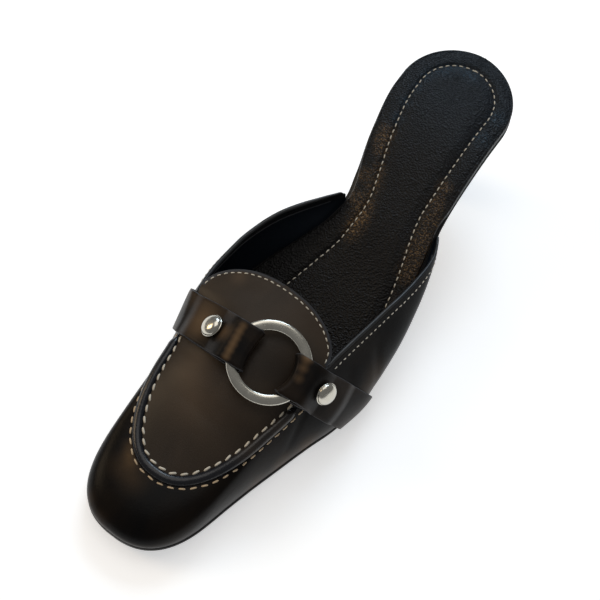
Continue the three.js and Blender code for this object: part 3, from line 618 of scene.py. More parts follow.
def stitches(name, path, up, finish, pitch, gap, width, height, lift, slant=0.0):
    """Stitches of thread along a path, each a small bead that dips into the leather at its ends."""
    run = run_of(path)
    count = max(1, int(run[-1] / pitch))
    places = (np.arange(count) + 0.5) * run[-1] / count
    on = lambda values, spots: np.stack([np.interp(spots, run, values[:, k]) for k in range(3)], -1)
    middle = on(path, places)
    over = unit(on(up, places))
    ahead = unit(on(path, places + pitch * 0.3) - on(path, places - pitch * 0.3))
    beside = unit(np.cross(over, ahead))
    wobble = slant + 0.1 * np.sin(np.arange(count) * 2.4)[:, None]
    turned = ahead * np.cos(wobble) + beside * np.sin(wobble)
    across = unit(np.cross(over, turned))
    length = run[-1] / count - gap
    around = 8
    stops = np.linspace(-1, 1, 9)
    made_spots = []
    made_faces = []
    for k in range(count):
        base = len(made_spots)
        for s in stops:
            size = max(0.05, (1 - abs(s) ** 2.6) ** 0.5)
            sink = -height * 0.9 * abs(s) ** 3
            for a in range(around):
                angle = 2 * math.pi * a / around
                made_spots.append(
                    middle[k]
                    + turned[k] * (s * length / 2)
                    + across[k] * (math.cos(angle) * width / 2 * size)
                    + over[k] * (math.sin(angle) * height / 2 * size + sink + lift)
                )
        for r in range(len(stops) - 1):
            for a in range(around):
                b = (a + 1) % around
                made_faces.append([base + r * around + a, base + r * around + b,
                                   base + (r + 1) * around + b, base + (r + 1) * around + a])
    piece = meshed(name, np.array(made_spots), made_faces, [finish])
    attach(piece, "root")
    return piece


def thread_finish(name, light, shade):
    finish = Finish(name, Specular_IOR_Level=0.3)
    fibres = finish.noise(0.3, 3, 0.6)
    uneven = finish.noise(5, 2, 0.5)
    finish.relief(fibres, 0.08)
    return finish.paint(
        Base_Color=finish.color(fibres * 0.5 + uneven * 0.5, (*shade, 1), (*light, 1)),
        Roughness=0.6 + fibres * 0.2,
    )


cream_thread = thread_finish("cream thread", (0.84, 0.78, 0.66), (0.52, 0.46, 0.36))


def bed_seam():
    """The row of stitches on the bed, from the inner side round the heel to the outer side."""

    def inset_line(side):
        at = np.linspace(0.6, 0.0, 700)
        rim = points(outline_x(at, side), -at * LENGTH, 0)
        along = unit(np.gradient(rim, axis=0))
        inward = points(-along[:, 1] * side, along[:, 0] * side, 0)
        path = rim + inward * stitch_inset[side](at)[:, None]
        for _ in range(3):
            short = stitch_inset[side](-path[:, 1] / LENGTH) - edge_distance(path)
            path = path + inward * short[:, None]
        return path

    left = inset_line(INNER)
    right = inset_line(OUTER)
    turn_y = -STITCH_LINE[0][1]
    left = left[left[:, 1] < turn_y]
    right = right[right[:, 1] < turn_y]
    sides = np.concatenate([np.full(len(left), INNER), np.full(len(right), OUTER)])
    path = np.concatenate([left, right[::-1]])
    keep = np.concatenate([[True], np.linalg.norm(np.diff(path, axis=0), axis=1) > 1e-6])
    path, sides = path[keep], sides[keep]
    at = -path[:, 1] / LENGTH
    inset = np.where(sides == INNER, stitch_inset[INNER](at), stitch_inset[OUTER](at))
    path[:, 2] = bed_top(at) + padding(inset, at, sides)
    slope = (bed_top(at + 0.004) - bed_top(at - 0.004)) / (0.008 * LENGTH)
    return path, unit(points(0, slope, 1))


bed_path, bed_up = bed_seam()
bed_thread = stitches("insole_stitches", bed_path, bed_up, cream_thread, 3.0, 0.8, 0.5, 0.45, 0.12)

# Vamp wall: the side and toe of the upper, one piece of black leather that is lasted over the
# sole's edge. Its topline is folded over and stitched, and its front edge meets the apron.
VAMP_HEIGHT = 38.5
SEAM_FRONT = 0.902
SEAM_TURN = 0.78
SEAM_ROUNDNESS = 2.4
SEAM_LINE = [
    # at, inner, outer, inner height, outer height
    (0.31, 0.17, 0.375, 0.92, 0.945),
    (0.335, 0.176, 0.41, 0.95, 0.94),
    (0.35, 0.195, 0.425, 0.99, 0.94),
    (0.375, 0.24, 0.432, 1.01, 0.94),
    (0.41, 0.315, 0.43, 0.995, 0.94),
    (0.445, 0.377, 0.422, 0.965, 0.945),
    (0.48, 0.415, 0.409, 0.935, 0.955),
    (0.53, 0.44, 0.39, 0.92, 0.955),
    (0.58, 0.443, 0.37, 0.915, 0.955),
    (0.632, 0.425, 0.355, 0.91, 0.945),
    (0.66, 0.4, 0.355, 0.83, 0.84),
    (0.69, 0.372, 0.345, 0.75, 0.74),
    (0.73, 0.35, 0.325, 0.69, 0.685),
    (0.772, 0.33, 0.3, 0.66, 0.655),
    (0.82, 0.3, 0.27, 0.6, 0.6),
    (0.86, 0.275, 0.245, 0.54, 0.54),
    (0.902, 0.25, 0.22, 0.495, 0.495),
]
SWELL_LINE = [
    # at, inner low, outer low, high, upright, tuck
    (0.31, 0.005, 0.005, 0.005, 0.4, 0.35),
    (0.4, 0.045, 0.05, 0.035, 0.4, 0.35),
    (0.5, 0.045, 0.06, 0.045, 0.4, 0.35),
    (0.63, 0.02, 0.04, 0.045, 0.4, 0.3),
    (0.75, -0.01, 0.01, 0.025, 0.45, 0.22),
    (0.88, 0, 0.01, 0.045, 0.55, 0.12),
    (1, 0.03, 0.035, 0.13, 0.65, 0.06),
]
seam_half = {INNER: ruled(SEAM_LINE, 1, BALL_WIDTH), OUTER: ruled(SEAM_LINE, 2, BALL_WIDTH)}
seam_rise = {INNER: ruled(SEAM_LINE, 3, VAMP_HEIGHT), OUTER: ruled(SEAM_LINE, 4, VAMP_HEIGHT)}
swell_low = {INNER: ruled(SWELL_LINE, 1, BALL_WIDTH), OUTER: ruled(SWELL_LINE, 2, BALL_WIDTH)}
swell_high = ruled(SWELL_LINE, 3, BALL_WIDTH)
upright = ruled(SWELL_LINE, 4)
tuck = ruled(SWELL_LINE, 5)


def seam_x(at, side):
    middle = (seam_half[OUTER](at) - seam_half[INNER](at)) / 2
    half = (seam_half[OUTER](at) + seam_half[INNER](at)) / 2
    return middle + side * half * round_end((at - SEAM_TURN) / (SEAM_FRONT - SEAM_TURN), SEAM_ROUNDNESS)


front_line = measured(lambda at: (seam_x(at, OUTER), -at * LENGTH), SEAM_FRONT, NOTCH)
front_foot = {
    side: measured(lambda at, side=side: (outline_x(at, side), -at * LENGTH), 1, NOTCH)
    for side in (INNER, OUTER)
}
JOINS = {INNER: JOIN_INNER, OUTER: JOIN_OUTER}


def places(travel, side):
    """Matching places on the sole's edge and on the seam: 0 at the toe, 1 notch, 2 join."""
    behind = mix(NOTCH, JOINS[side], travel - 1)
    front = travel <= 1
    return np.where(front, front_foot[side](travel), behind), np.where(front, front_line(travel), behind)


def wall(travel, side, climb, grow=0):
    """Point, outward direction and upward step of the wall, from the sole (0) to the seam (1)."""
    foot_at, line_at = places(travel, side)
    foot = points(outline_x(foot_at, side), -foot_at * LENGTH, sole_top(foot_at) + CLEARANCE / 2)
    line = points(seam_x(line_at, side), -line_at * LENGTH, seam_rise[side](line_at))
    step = 0.0012
    high = np.minimum(foot_at + step, 1)
    low = foot_at - step
    run = unit(points(outline_x(high, side) - outline_x(low, side), -(high - low) * LENGTH, 0))
    out = points(-run[..., 1] * side, run[..., 0] * side, 0)
    out = out * np.where(out[..., :1] * side < 0, -1, 1)
    rise = line[..., 2] - foot[..., 2]
    low_point = foot + out * swell_low[side](foot_at)[..., None]
    low_point[..., 2] += rise * upright(foot_at)
    high_point = mix(line, foot, 0.22) + out * swell_high(foot_at)[..., None]
    high_point[..., 2] = line[..., 2] - rise * tuck(foot_at)
    c = np.asarray(climb, float)[..., None]
    b = 1 - c
    spot = foot * b**3 + low_point * 3 * b * b * c + high_point * 3 * b * c * c + line * c**3
    up = 3 * ((low_point - foot) * b * b + (high_point - low_point) * 2 * b * c + (line - high_point) * c * c)
    normal = unit(np.cross(up, run))
    normal = normal * np.where((np.sum(normal * out, -1) + normal[..., 2])[..., None] < 0, -1, 1)
    return spot + normal * np.asarray(grow, float)[..., None], normal, up


def wall_thickness(travel):
    return WALL * mix(1, SKIVED, smooth(travel, 1.7, 2))


FACING = 5.5  # how far the topline's leather is folded down inside
EDGE_TURN = 9
WALL_COLUMNS = 46
TUCKED = 0.9  # the wall's lower edge runs on this far under the upper


def signed_travels(front, back):
    behind = 1 + (np.arange(back, 0, -1) / back) ** 1.2
    ahead = np.arange(front, 0, -1) / front
    side = np.concatenate([behind, ahead])
    return np.concatenate([-side, [0], side[::-1]])


def by_side(travel, make):
    """Rows for signed travels: make(travel, side) for each side of the shoe, set end to end."""
    inner = make(-travel[travel < 0][:, None], INNER)
    outer = make(travel[travel >= 0][:, None], OUTER)
    return np.concatenate([inner, outer])


# Soft troughs and ridges of the worn leather: where each starts and ends along the foot and up
# the wall, and how deep and how wide it is, in millimetres.
WALL_CREASES = [
    # side, travel, climb, travel to, climb to, depth, width
    (OUTER, 0.98, 0.22, 1.12, 0.78, -0.22, 6),
    (OUTER, 0.9, 0.3, 1.02, 0.82, 0.2, 6),
    (OUTER, 1.22, 0.2, 1.3, 0.7, -0.35, 5),
    (OUTER, 0.72, 0.35, 0.86, 0.9, -0.3, 4),
    (INNER, 0.96, 0.25, 1.1, 0.8, -0.45, 4.2),
    (INNER, 0.86, 0.3, 0.98, 0.85, 0.3, 4.5),
    (INNER, 1.25, 0.3, 1.4, 0.7, -0.35, 5),
    (INNER, 0.66, 0.4, 0.8, 0.92, -0.3, 4),
    (OUTER, 0.3, 0.55, 0.5, 0.9, 0.25, 5),
    (INNER, 0.3, 0.55, 0.5, 0.9, 0.25, 5),
]


def creased(spots, side, lines, at_line):
    """How far creases push each point of a piece out."""
    total = np.zeros(spots.shape[:-1])
    for crease_side, t0, c0, t1, c1, depth, width in lines:
        if crease_side != side:
            continue
        start = at_line(t0, c0)
        end = at_line(t1, c1)
        along = end - start
        share = np.clip(np.sum((spots - start) * along, -1) / np.sum(along * along), 0, 1)
        away = np.linalg.norm(spots - start - share[..., None] * along, axis=-1)
        fade = np.sin(np.pi * np.clip(0.08 + 0.84 * share, 0, 1)) ** 0.7
        total += depth * np.exp(-((away / (width / 2)) ** 2)) * fade
    return total


def wall_relief(spots, side):
    at_line = lambda t, c: wall(np.array([t]), side, np.array([c]))[0][0]
    return creased(spots, side, WALL_CREASES, at_line)


def end_climb(travel):
    """How far up the wall's topline runs; it dips under the bed's edge at its end."""
    return 1 - 0.4 * smooth(travel, 1.95, 2) ** 2


def wall_rows(travel, side):
    climb = np.linspace(0, 1, WALL_COLUMNS)[None, :] * end_climb(travel)
    line, normal, up = wall(travel, side, end_climb(travel))
    thick = wall_thickness(travel)
    radius = thick[..., None] / 2
    length = np.linalg.norm(up, axis=-1)
    behind = smooth(travel, 0.98, 1.02)
    end = 1 - behind * thick / 2 / np.maximum(length, 6)
    top_end = end * end_climb(travel)
    outer, outward, _ = wall(travel, side, climb * end)
    tucked = outer[:, :1] - outward[:, :1] * np.array([TUCKED, 0.25])[None, :, None]
    tucked[..., 2] += 0.1
    creases = wall_relief(outer, side) * np.sin(np.pi * np.clip(climb, 0, 1)) ** 0.6
    outer = outer + outward * creases[..., None]
    angle = np.linspace(0, np.pi, EDGE_TURN)[None, 1:, None]
    upward = unit(up)
    middle = line - upward * radius - normal * radius
    turned = middle + radius * (np.cos(angle) * normal + np.sin(angle) * upward)
    hidden = line - normal * 0.6 * (angle / np.pi)
    turned = mix(hidden, turned, behind[..., None])
    down = np.linspace(0, 1, 8)[None, 1:]
    facing_end = (1 - FACING / np.maximum(length, 9)) * end_climb(travel)
    facing = wall(travel, side, mix(top_end, facing_end, down), -thick)[0]
    sunk = line - normal * (0.6 + 0.6 * down[..., None])
    facing = mix(sunk, facing, behind[..., None])
    return np.concatenate([tucked, outer, turned, facing], 1)


wall_leather = smooth_leather(
    "wall leather",
    (0.0028, 0.0027, 0.0029),
    (0.10, 0.057, 0.024),
    0.27,
    patch=30,
    grain=0.045,
    # Painted sheen: a brown sheen on the toe beside the apron's front, and a painted gold-brown reflection of
    # the floor low along the outer side.
    wear_and_sheen=[
        (-15, -196, 19.3, 8, 0.6),
        (-13, -199, 19.2, 8, 0.9),
        (-10, -201, 19.1, 8, 0.6),
        (-12, -203, 18.5, 12, 0.35),
        (-6, -205, 18.5, 12, 0.3),
        (-15, -218, 11, 9, 0.35),
        (-8, -221, 10, 10, 0.25),
        (28, -174, 6, 12, 0.5),
        (31, -161, 6, 13, 0.6),
        (35, -149, 6, 13, 0.7),
        (41, -122, 12, 14, 0.7),
        (40, -112, 17, 14, 0.4),
    ],
    even=0.06,
    gloss=0.075,
)
# The folded edge and facing are the wall's own leather, painted lighter, bluish and glossier: a painted
# highlight along the topline's fold, and painted bluish light on the facing.
fold_highlight_leather = smooth_leather(
    "fold leather", (0.008, 0.010, 0.013), (0.05, 0.042, 0.034), 0.3, even=0.3, gloss=0.45
)


def wall_kind(i, j):
    """1 for the folded edge and facing, which come after two tucked columns and the outside."""
    return (j > WALL_COLUMNS) + 0 * i


travels = signed_travels(120, 90)
vamp_wall = surface(
    "vamp_wall", by_side(travels, wall_rows), [wall_leather, fold_highlight_leather], turn=True, finish_of=wall_kind
)
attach(vamp_wall, "root")
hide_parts("upper")

# Apron: the plug of browner leather set into the vamp, running back into a rounded tongue. Its
# front and sides are sewn to the wall, and the tongue's edge is cut and stitched round.
RIDGE_LINE = [
    # at, ridge, edge
    (0.53, 1.25, 1.05),
    (0.57, 1.19, 1.0),
    (0.6, 1.135, 0.965),
    (0.632, 1.08, 0.925),
    (0.684, 1, 0.76),
    (0.74, 0.89, 0.68),
    (0.8, 0.75, 0.63),
    (0.86, 0.6, 0.54),
    (0.902, 0.505, 0.495),
]
CROWN_POWER = 2.2
TONGUE_END = 0.573
ridge_up, edge_up = (ruled(RIDGE_LINE, k, VAMP_HEIGHT) for k in (1, 2))


def apron_span(at):
    back = np.maximum(NOTCH, at)
    inner = seam_x(back, INNER)
    outer = seam_x(back, OUTER)
    return (inner + outer) / 2, (outer - inner) / 2


def apron_height(x, at):
    middle, half = apron_span(at)
    across = np.clip((x - middle) / np.maximum(half, 0.01), -1, 1)
    rise = {
        side: np.where(at > NOTCH, seam_rise[side](at), seam_rise[side](NOTCH) + edge_up(at) - edge_up(NOTCH))
        for side in (INNER, OUTER)
    }
    edge = np.where(across < 0, rise[INNER], rise[OUTER])
    return ridge_up(at) - (ridge_up(at) - edge) * np.abs(across) ** CROWN_POWER


def apron(x, at, grow=0):
    d = 1.5
    slope_x = (apron_height(x + d, at) - apron_height(x - d, at)) / (2 * d)
    slope_y = (apron_height(x, at - d / LENGTH) - apron_height(x, at + d / LENGTH)) / (2 * d)
    normal = unit(points(-slope_x, -slope_y, 1))
    return points(x, -at * LENGTH, apron_height(x, at)) + normal * np.asarray(grow, float)[..., None], normal


# Creases of the apron: from and to, as x and as millimetres from the back of the seat.
APRON_CREASES = [
    (OUTER, -20, 183, 18, 186, -0.3, 5),
    (OUTER, -19, 190, 16, 193, 0.22, 5),
    (OUTER, -16, 198, 14, 200, -0.22, 5),
    (OUTER, -24, 158, -10, 150, -0.25, 6),
    (OUTER, 12, 150, 24, 158, -0.25, 6),
]


def apron_relief(spots):
    at_line = lambda x, y: apron(np.array([float(x)]), np.array([y / LENGTH]))[0][0]
    return creased(spots, OUTER, APRON_CREASES, at_line)


def tongue_share(at):
    return round_end((NOTCH - at) / (NOTCH - TONGUE_END), 2.1) ** 0.9


TOP_COLUMNS, EDGE_COLUMNS = 81, 5
TONGUE_ROWS = 130  # rows of the apron before the tongue


def apron_grid():
    front = front_line(np.linspace(0.0005, 1, TONGUE_ROWS))
    back = mix(NOTCH, TONGUE_END + 0.0001, np.sin(np.pi / 2 * np.linspace(0, 1, 50)[1:]))
    at = np.concatenate([front, back])[:, None]
    middle, half = apron_span(at)
    reach = half * tongue_share(at)
    across = np.linspace(-1, 1, TOP_COLUMNS)[None, :]
    ease = np.minimum(0.7, reach / 4)
    top, up = apron(middle + (reach - ease) * across, at)
    top = top + up * (apron_relief(top) * (1 - across**4))[..., None]
    under = apron(middle + (reach - ease) * across[:, ::-1], at, -WALL)[0]
    turn = np.linspace(0, np.pi, EDGE_COLUMNS + 2)[None, 1:-1]

    def edge(side, angle):
        x = middle + side * (reach - ease)
        rim, normal = apron(x, at, -WALL / 2)
        aside = points(side * np.sin(angle) * ease, 0, 0)
        return rim + aside + normal * (WALL / 2 * np.cos(angle))[..., None]

    return np.concatenate([top, edge(OUTER, turn), under, edge(INNER, turn[:, ::-1])], 1)


def edge_finish():
    finish = Finish("cut edge", Specular_IOR_Level=0.35)
    fibres = finish.noise(0.5, 4, 0.7)
    finish.relief(fibres, 0.12)
    return finish.paint(
        Base_Color=finish.color(fibres, (0.010, 0.011, 0.014, 1), (0.045, 0.045, 0.05, 1)),
        Roughness=0.55 + fibres * 0.2,
    )


def lining_finish():
    finish = Finish("lining leather", Specular_IOR_Level=0.3)
    pores = finish.cells(0.7)
    fine = finish.noise(0.3, 3, 0.6)
    soft = finish.noise(18, 3, 0.5)
    finish.relief(pores * 0.6 + fine * 0.4 + soft * 1.5, 0.06)
    # Partly painted light: the lining's dark navy is raised a little lighter and bluer, standing in for
    # bluish light that the lamps do not bring inside the wall.
    return finish.paint(
        Base_Color=finish.color(soft, (0.004, 0.007, 0.012, 1), (0.009, 0.014, 0.022, 1)),
        Roughness=0.42 + fine * 0.12,
    )


apron_leather = smooth_leather(
    "apron leather",
    (0.026, 0.019, 0.0135),
    (0.092, 0.060, 0.036),
    0.36,
    patch=34,
    grain=0.04,
    # Painted sheen: the apron is painted lighter brown at its front and by the tongue on the inner side,
    # where the light falls.
    wear_and_sheen=[
        (-21, -122, 41, 9, 0.7),
        (-14, -160, 32, 16, 0.5),
        (-9, -168, 29, 22, 0.3),
        (-2, -172, 27, 24, 0.25),
    ],
    even=0.3,
)
cut_edge = edge_finish()
lining_leather = lining_finish()
INKED = 0.9  # the tongue is inked black this far in from its edge
apron_spots = apron_grid()
tongue_rim = np.concatenate([apron_spots[TONGUE_ROWS:, 0], apron_spots[TONGUE_ROWS:, TOP_COLUMNS - 1]])


def apron_kind(i, j):
    spots = apron_spots[i, j]
    near_rim = np.min([np.linalg.norm(spots - rim, axis=-1) for rim in tongue_rim], axis=0)
    on_top = (j < TOP_COLUMNS - 1) & (near_rim > INKED)
    under = (j >= TOP_COLUMNS + EDGE_COLUMNS) & (j < 2 * TOP_COLUMNS + EDGE_COLUMNS - 1)
    return np.where(on_top, 0, np.where(under, 2, 1)) + 0 * i


apron_piece = surface(
    "apron_and_tongue",
    apron_spots,
    [apron_leather, cut_edge, lining_leather],
    around=True,
    ends=True,
    finish_of=apron_kind,
)
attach(apron_piece, "root")
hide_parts("upper")

# Raised seam: the wall's edge is rolled over a cord round the apron, and sewn down on both sides
# of the roll, with thick thread on the apron's side and fine thread on the wall's.
ROLL_WIDTH = 4.1
ROLL_HEIGHT = 1.7
ROLL_FADE = 5  # length over which it sinks under the strap
ROLL_SUNK = 0.4  # its share of the full size there
STRAP_WIDTH = 17
STRAP_LEAN = 0.56  # the strap's plane runs this far forward for each mm up
STRAP_FOOT = 150  # from the back of the heel to the strap's plane, at the floor
STRAP_SKEW = 0.06  # and this far back for each mm to the outer side
RING_OFFSET = 9  # ring's centre, to the outer side of the shoe's axis


def across_strap(spot):
    x, y, z = (spot[..., k] for k in range(3))
    return (STRAP_SKEW * (x - RING_OFFSET) - y - STRAP_FOOT - STRAP_LEAN * z) / math.hypot(1, STRAP_LEAN)


def seam_frame(travel, side):
    """Middle of the seam, its direction up out of the leather, and the way across it, outwards."""
    spot, normal, _ = wall(travel, side, np.ones_like(travel))
    line_at = np.minimum(places(travel, side)[1], SEAM_FRONT)
    inward = apron(spot[..., 0] - side * 0.5, line_at)[1]
    up = unit(normal + inward)
    ahead = places(np.maximum(0, travel - 0.01), side)[1]
    here = places(travel + 0.01, side)[1]
    run = points(
        seam_x(here, side) - seam_x(ahead, side),
        -(here - ahead) * LENGTH,
        seam_rise[side](here) - seam_rise[side](ahead),
    )
    run = np.where((travel < 1e-6)[..., None], points(side, 0, 0), run)
    return spot, up, unit(np.cross(run, up)) * side


def roll_rows(travel, side):
    spot, up, across = seam_frame(travel, side)
    sunk = smooth(across_strap(spot), STRAP_WIDTH / 2 - 1, STRAP_WIDTH / 2 + ROLL_FADE)
    size = mix(ROLL_SUNK, 1, sunk)[..., None]
    middle = spot - up * ROLL_HEIGHT * (1 - size)
    angle = np.linspace(0, 2 * np.pi, 22, endpoint=False)[None, :, None]
    wide = np.sign(np.cos(angle)) * np.abs(np.cos(angle)) ** 0.9
    return middle + across * wide * ROLL_WIDTH / 2 * size + up * np.sin(angle) * ROLL_HEIGHT * size


# The roll is the wall's own leather with painted sheen: its bluish base colour is a painted blue-grey sheen,
# and its warm places on the outer side are painted warm sheen.
roll_sheen_leather = smooth_leather(
    "roll leather",
    (0.0045, 0.006, 0.010),
    (0.05, 0.034, 0.02),
    0.2,
    patch=30,
    wear_and_sheen=[(28, -158, 28, 16, 0.6), (24, -172, 26, 16, 0.5)],
    even=0.1,
    gloss=0.4,
)
roll_travels = np.linspace(-1.02, 1.02, 401)
roll = surface("raised_seam", by_side(roll_travels, roll_rows), [roll_sheen_leather], around=True, ends=True)
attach(roll, "root")
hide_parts("upper")

INNER_ROW = 2.35  # rows of stitches, from the middle of the roll
OUTER_ROW = {INNER: 2.6, OUTER: 3.3}
STRAP_COVER = 0.5  # the stitches end this far under the strap


def apron_row(travel, side):
    spot, up, across = seam_frame(travel, side)
    spot = spot[:, 0] - across[:, 0] * INNER_ROW
    at = -spot[:, 1] / LENGTH
    on, normal = apron(spot[:, 0], at)
    return np.stack([on, normal], 1)


def wall_row(travel, side):
    up = wall(travel, side, np.ones_like(travel))[2]
    away = mix(2.8, OUTER_ROW[side], smooth(travel, 0, 0.3))
    on, normal, _ = wall(travel, side, 1 - away / np.linalg.norm(up, axis=-1))
    return np.stack([on[:, 0], normal[:, 0]], 1)


def shown(row):
    path, up = row[:, 0], row[:, 1]
    seen = across_strap(path) > STRAP_WIDTH / 2 - STRAP_COVER
    return path[seen], up[seen]


heavy = stitches(
    "apron_stitches", *shown(by_side(roll_travels, apron_row)), cream_thread, 4.2, 0.7, 1.0, 0.85, 0.12, 0.2
)
# The wall's row gets a darker, browner thread colour than the cream rows.
dull_thread = thread_finish("darker thread", (0.76, 0.60, 0.40), (0.40, 0.28, 0.17))
fine_row = stitches(
    "wall_stitches", *shown(by_side(roll_travels, wall_row)), dull_thread, 4.2, 0.9, 0.75, 0.5, 0.05
)

# Tongue and topline stitches: one row of cream thread close to the tongue's edge, and one
# below the folded topline on each side.
TONGUE_ROW = 1.7  # rows of stitches, from the edge
COLLAR_ROW = 3.5


def tongue_row():
    at = mix(NOTCH, TONGUE_END, np.sin(np.pi / 2 * np.linspace(0, 1, 400)))
    middle, half = apron_span(at)
    reach = half * tongue_share(at)
    inner, outer = (points(middle + side * reach, -at * LENGTH, 0) for side in (INNER, OUTER))
    rim = np.concatenate([inner, outer[::-1]])
    keep = np.concatenate([[True], np.linalg.norm(np.diff(rim, axis=0), axis=1) > 1e-4])
    rim = rim[keep]
    along = unit(np.gradient(rim, axis=0))
    inward = points(along[:, 1], -along[:, 0], 0)
    path = rim + inward * TONGUE_ROW
    centre = (apron_span(np.array([NOTCH]))[0][0], -(NOTCH + 0.02) * LENGTH)
    if np.linalg.norm(path[200, :2] - centre) > np.linalg.norm(rim[200, :2] - centre):
        path = rim - inward * TONGUE_ROW
    return apron(path[:, 0], -path[:, 1] / LENGTH)


tongue_thread = stitches("tongue_stitches", *tongue_row(), cream_thread, 2.8, 0.8, 0.5, 0.45, 0.05)


def collar_row(side):
    travel = np.linspace(1.03, 1.93, 400)
    up = wall(travel, side, np.ones_like(travel))[2]
    climb = 1 - COLLAR_ROW / np.maximum(np.linalg.norm(up, axis=-1), 8)
    on, normal, _ = wall(travel, side, climb)
    return on + normal * wall_relief(on, side)[:, None] * 0.3, normal


for side, word in ((INNER, "inner"), (OUTER, "outer")):
    collar_thread = stitches(
        f"collar_stitches_{word}", *collar_row(side), cream_thread, 2.6, 0.8, 0.45, 0.4, 0.05
    )

# Lining: smooth black leather glued inside the wall, its upper edge seamed under the folded
# topline, a little behind the fold. The fold's lower edge is sewn down on it as a fine bead.
LINING_STEP = 0.25
FACING_BEAD = 0.35


def lining_rows(travel, side):
    length = np.linalg.norm(wall(travel, side, np.ones_like(travel))[2], axis=-1)
    behind = smooth(travel, 0.98, 1.02)
    top = mix(1, 1 - (FACING - 0.2) / np.maximum(length, 9), behind) * end_climb(travel)
    climb = np.linspace(0, 1, 24)[None, :] * top
    return wall(travel, side, climb, -(wall_thickness(travel) - LINING_STEP * behind))[0]


lining = surface("lining", by_side(travels, lining_rows), [lining_leather])
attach(lining, "root")
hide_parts("upper")


def facing_bead(side):
    travel = np.linspace(1.03, 1.9, 240)[:, None]
    up = wall(travel, side, np.ones_like(travel))[2]
    climb = (1 - FACING / np.maximum(np.linalg.norm(up, axis=-1), 9)) * end_climb(travel)
    spot, normal, _ = wall(travel, side, climb, -wall_thickness(travel))
    angle = np.linspace(0, 2 * np.pi, 10, endpoint=False)[None, :, None]
    return spot + FACING_BEAD * (normal * np.cos(angle) + unit(up) * np.sin(angle))


# The bead is painted much lighter than the wall leather: a painted highlight along the facing's lower edge,
# where the lamps do not reach.
bead_highlight_leather = smooth_leather(
    "bead leather", (0.03, 0.033, 0.04), (0.07, 0.06, 0.05), 0.35, even=0.3, gloss=0.5
)
for side, word in ((INNER, "inner"), (OUTER, "outer")):
    bead = surface(
        f"facing_bead_{word}", facing_bead(side), [bead_highlight_leather], around=True, ends=True, turn=side == INNER
    )
    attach(bead, "root")

# Ring: a plain ring of flat polished nickel-plated bar. It lies over the vamp, level between the
# two strap loops that hold it.
RING_RADIUS = 16.4
RING_BAR = 4.3
RING_THICKNESS = 2.6
STRAP_THICKNESS = 1.5
STRAP_SEAT = 1.5 * CLEARANCE  # strap over vamp
HALF_VOID = RING_THICKNESS / 2 + CLEARANCE
LOOP_FOLLOWS = {INNER: 0.35, OUTER: 0.8}  # how closely the loops' folds follow the ring's curve


def solved(value, goal, low, high):
    """Where a rising function reaches a goal, for every element of an array."""
    low = np.zeros_like(goal) + low
    high = np.zeros_like(goal) + high
    for _ in range(40):
        middle = (low + high) / 2
        short = value(middle) < goal
        low = np.where(short, middle, low)
        high = np.where(short, high, middle)
    return (low + high) / 2


def ring_frame():
    lift = STRAP_SEAT + STRAP_THICKNESS + HALF_VOID
    bar = RING_RADIUS - RING_BAR / 2
    x = np.array([RING_OFFSET - bar, RING_OFFSET + bar])
    at = solved(lambda v: across_strap(apron(x, v, np.full(2, lift))[0]), np.zeros(2), NOTCH, 0.8)
    low, high = apron(x, at, np.full(2, lift))[0]
    middle = (low + high) / 2
    here = -middle[1] / LENGTH
    spots = apron(np.array([RING_OFFSET, RING_OFFSET]), np.array([here + 0.02, here - 0.02]))[0]
    out = unit(high - low)
    normal = unit(np.cross(spots[0] - spots[1], out))
    return middle, normal, out, unit(np.cross(out, normal))


ring_middle, ring_normal, ring_out, ring_front = ring_frame()


def in_ring(along, across, up):
    parts = np.broadcast_arrays(*(np.asarray(v, float) for v in (along, across, up)))
    a, b, c = (part[..., None] for part in parts)
    return ring_middle + ring_out * a + ring_front * b + ring_normal * c


def fold_run(side, across):
    inner_edge = lambda v: np.sqrt((RING_RADIUS - RING_BAR) ** 2 - v**2)
    return mix(inner_edge(STRAP_WIDTH / 2), inner_edge(across), LOOP_FOLLOWS[side])


def ring_lift():
    """Lifts the ring until both under layers clear the vamp everywhere below its bars."""
    across = np.linspace(-1, 1, 5)[:, None] * STRAP_WIDTH / 2
    share = np.linspace(0, 1, 5)[None, :]
    short = []
    for side in (INNER, OUTER):
        run = mix(fold_run(side, across) - STRAP_THICKNESS, RING_RADIUS + CLEARANCE, share)
        under = in_ring(side * run, across, -HALF_VOID - STRAP_THICKNESS)
        at = -under[..., 1] / LENGTH
        over = under[..., 2] - apron_height(under[..., 0], at)
        short.append(np.max(STRAP_SEAT - over * apron(under[..., 0], at)[1][..., 2]))
    return max(0, *short)


ring_middle = ring_middle + ring_normal * ring_lift()


def ring_grid():
    turn = np.linspace(0, 2 * np.pi, 160, endpoint=False)[:, None]
    angle = np.linspace(0, 2 * np.pi, 28, endpoint=False)[None, :]
    flat = lambda v: np.sign(v) * np.abs(v) ** 0.62
    radius = RING_RADIUS - RING_BAR / 2 + RING_BAR / 2 * flat(np.cos(angle))
    height = RING_THICKNESS / 2 * flat(np.sin(angle))
    return in_ring(radius * np.cos(turn), radius * np.sin(turn), height + 0 * turn)


def nickel_finish(name, tint):
    finish = Finish(name, Metallic=1)
    haze = finish.noise(3, 4, 0.6)
    scratch = finish.noise(0.6, 4, 0.7, 0, finish.stretched((1, 0.12, 1)))
    marks = finish.between(scratch, 0.6, 0.75)
    finish.relief(haze * 0.6 + scratch * 0.2, 0.02)
    return finish.paint(
        Base_Color=finish.color(haze, (*tint, 1), (0.64, 0.62, 0.55, 1)),
        Roughness=0.16 + haze * 0.08 + marks * 0.12,
    )


nickel = nickel_finish("polished nickel", (0.50, 0.475, 0.41))
ring = surface("ring_polished", ring_grid(), [nickel], around=True, along=True)
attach(ring, "root")
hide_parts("ring")

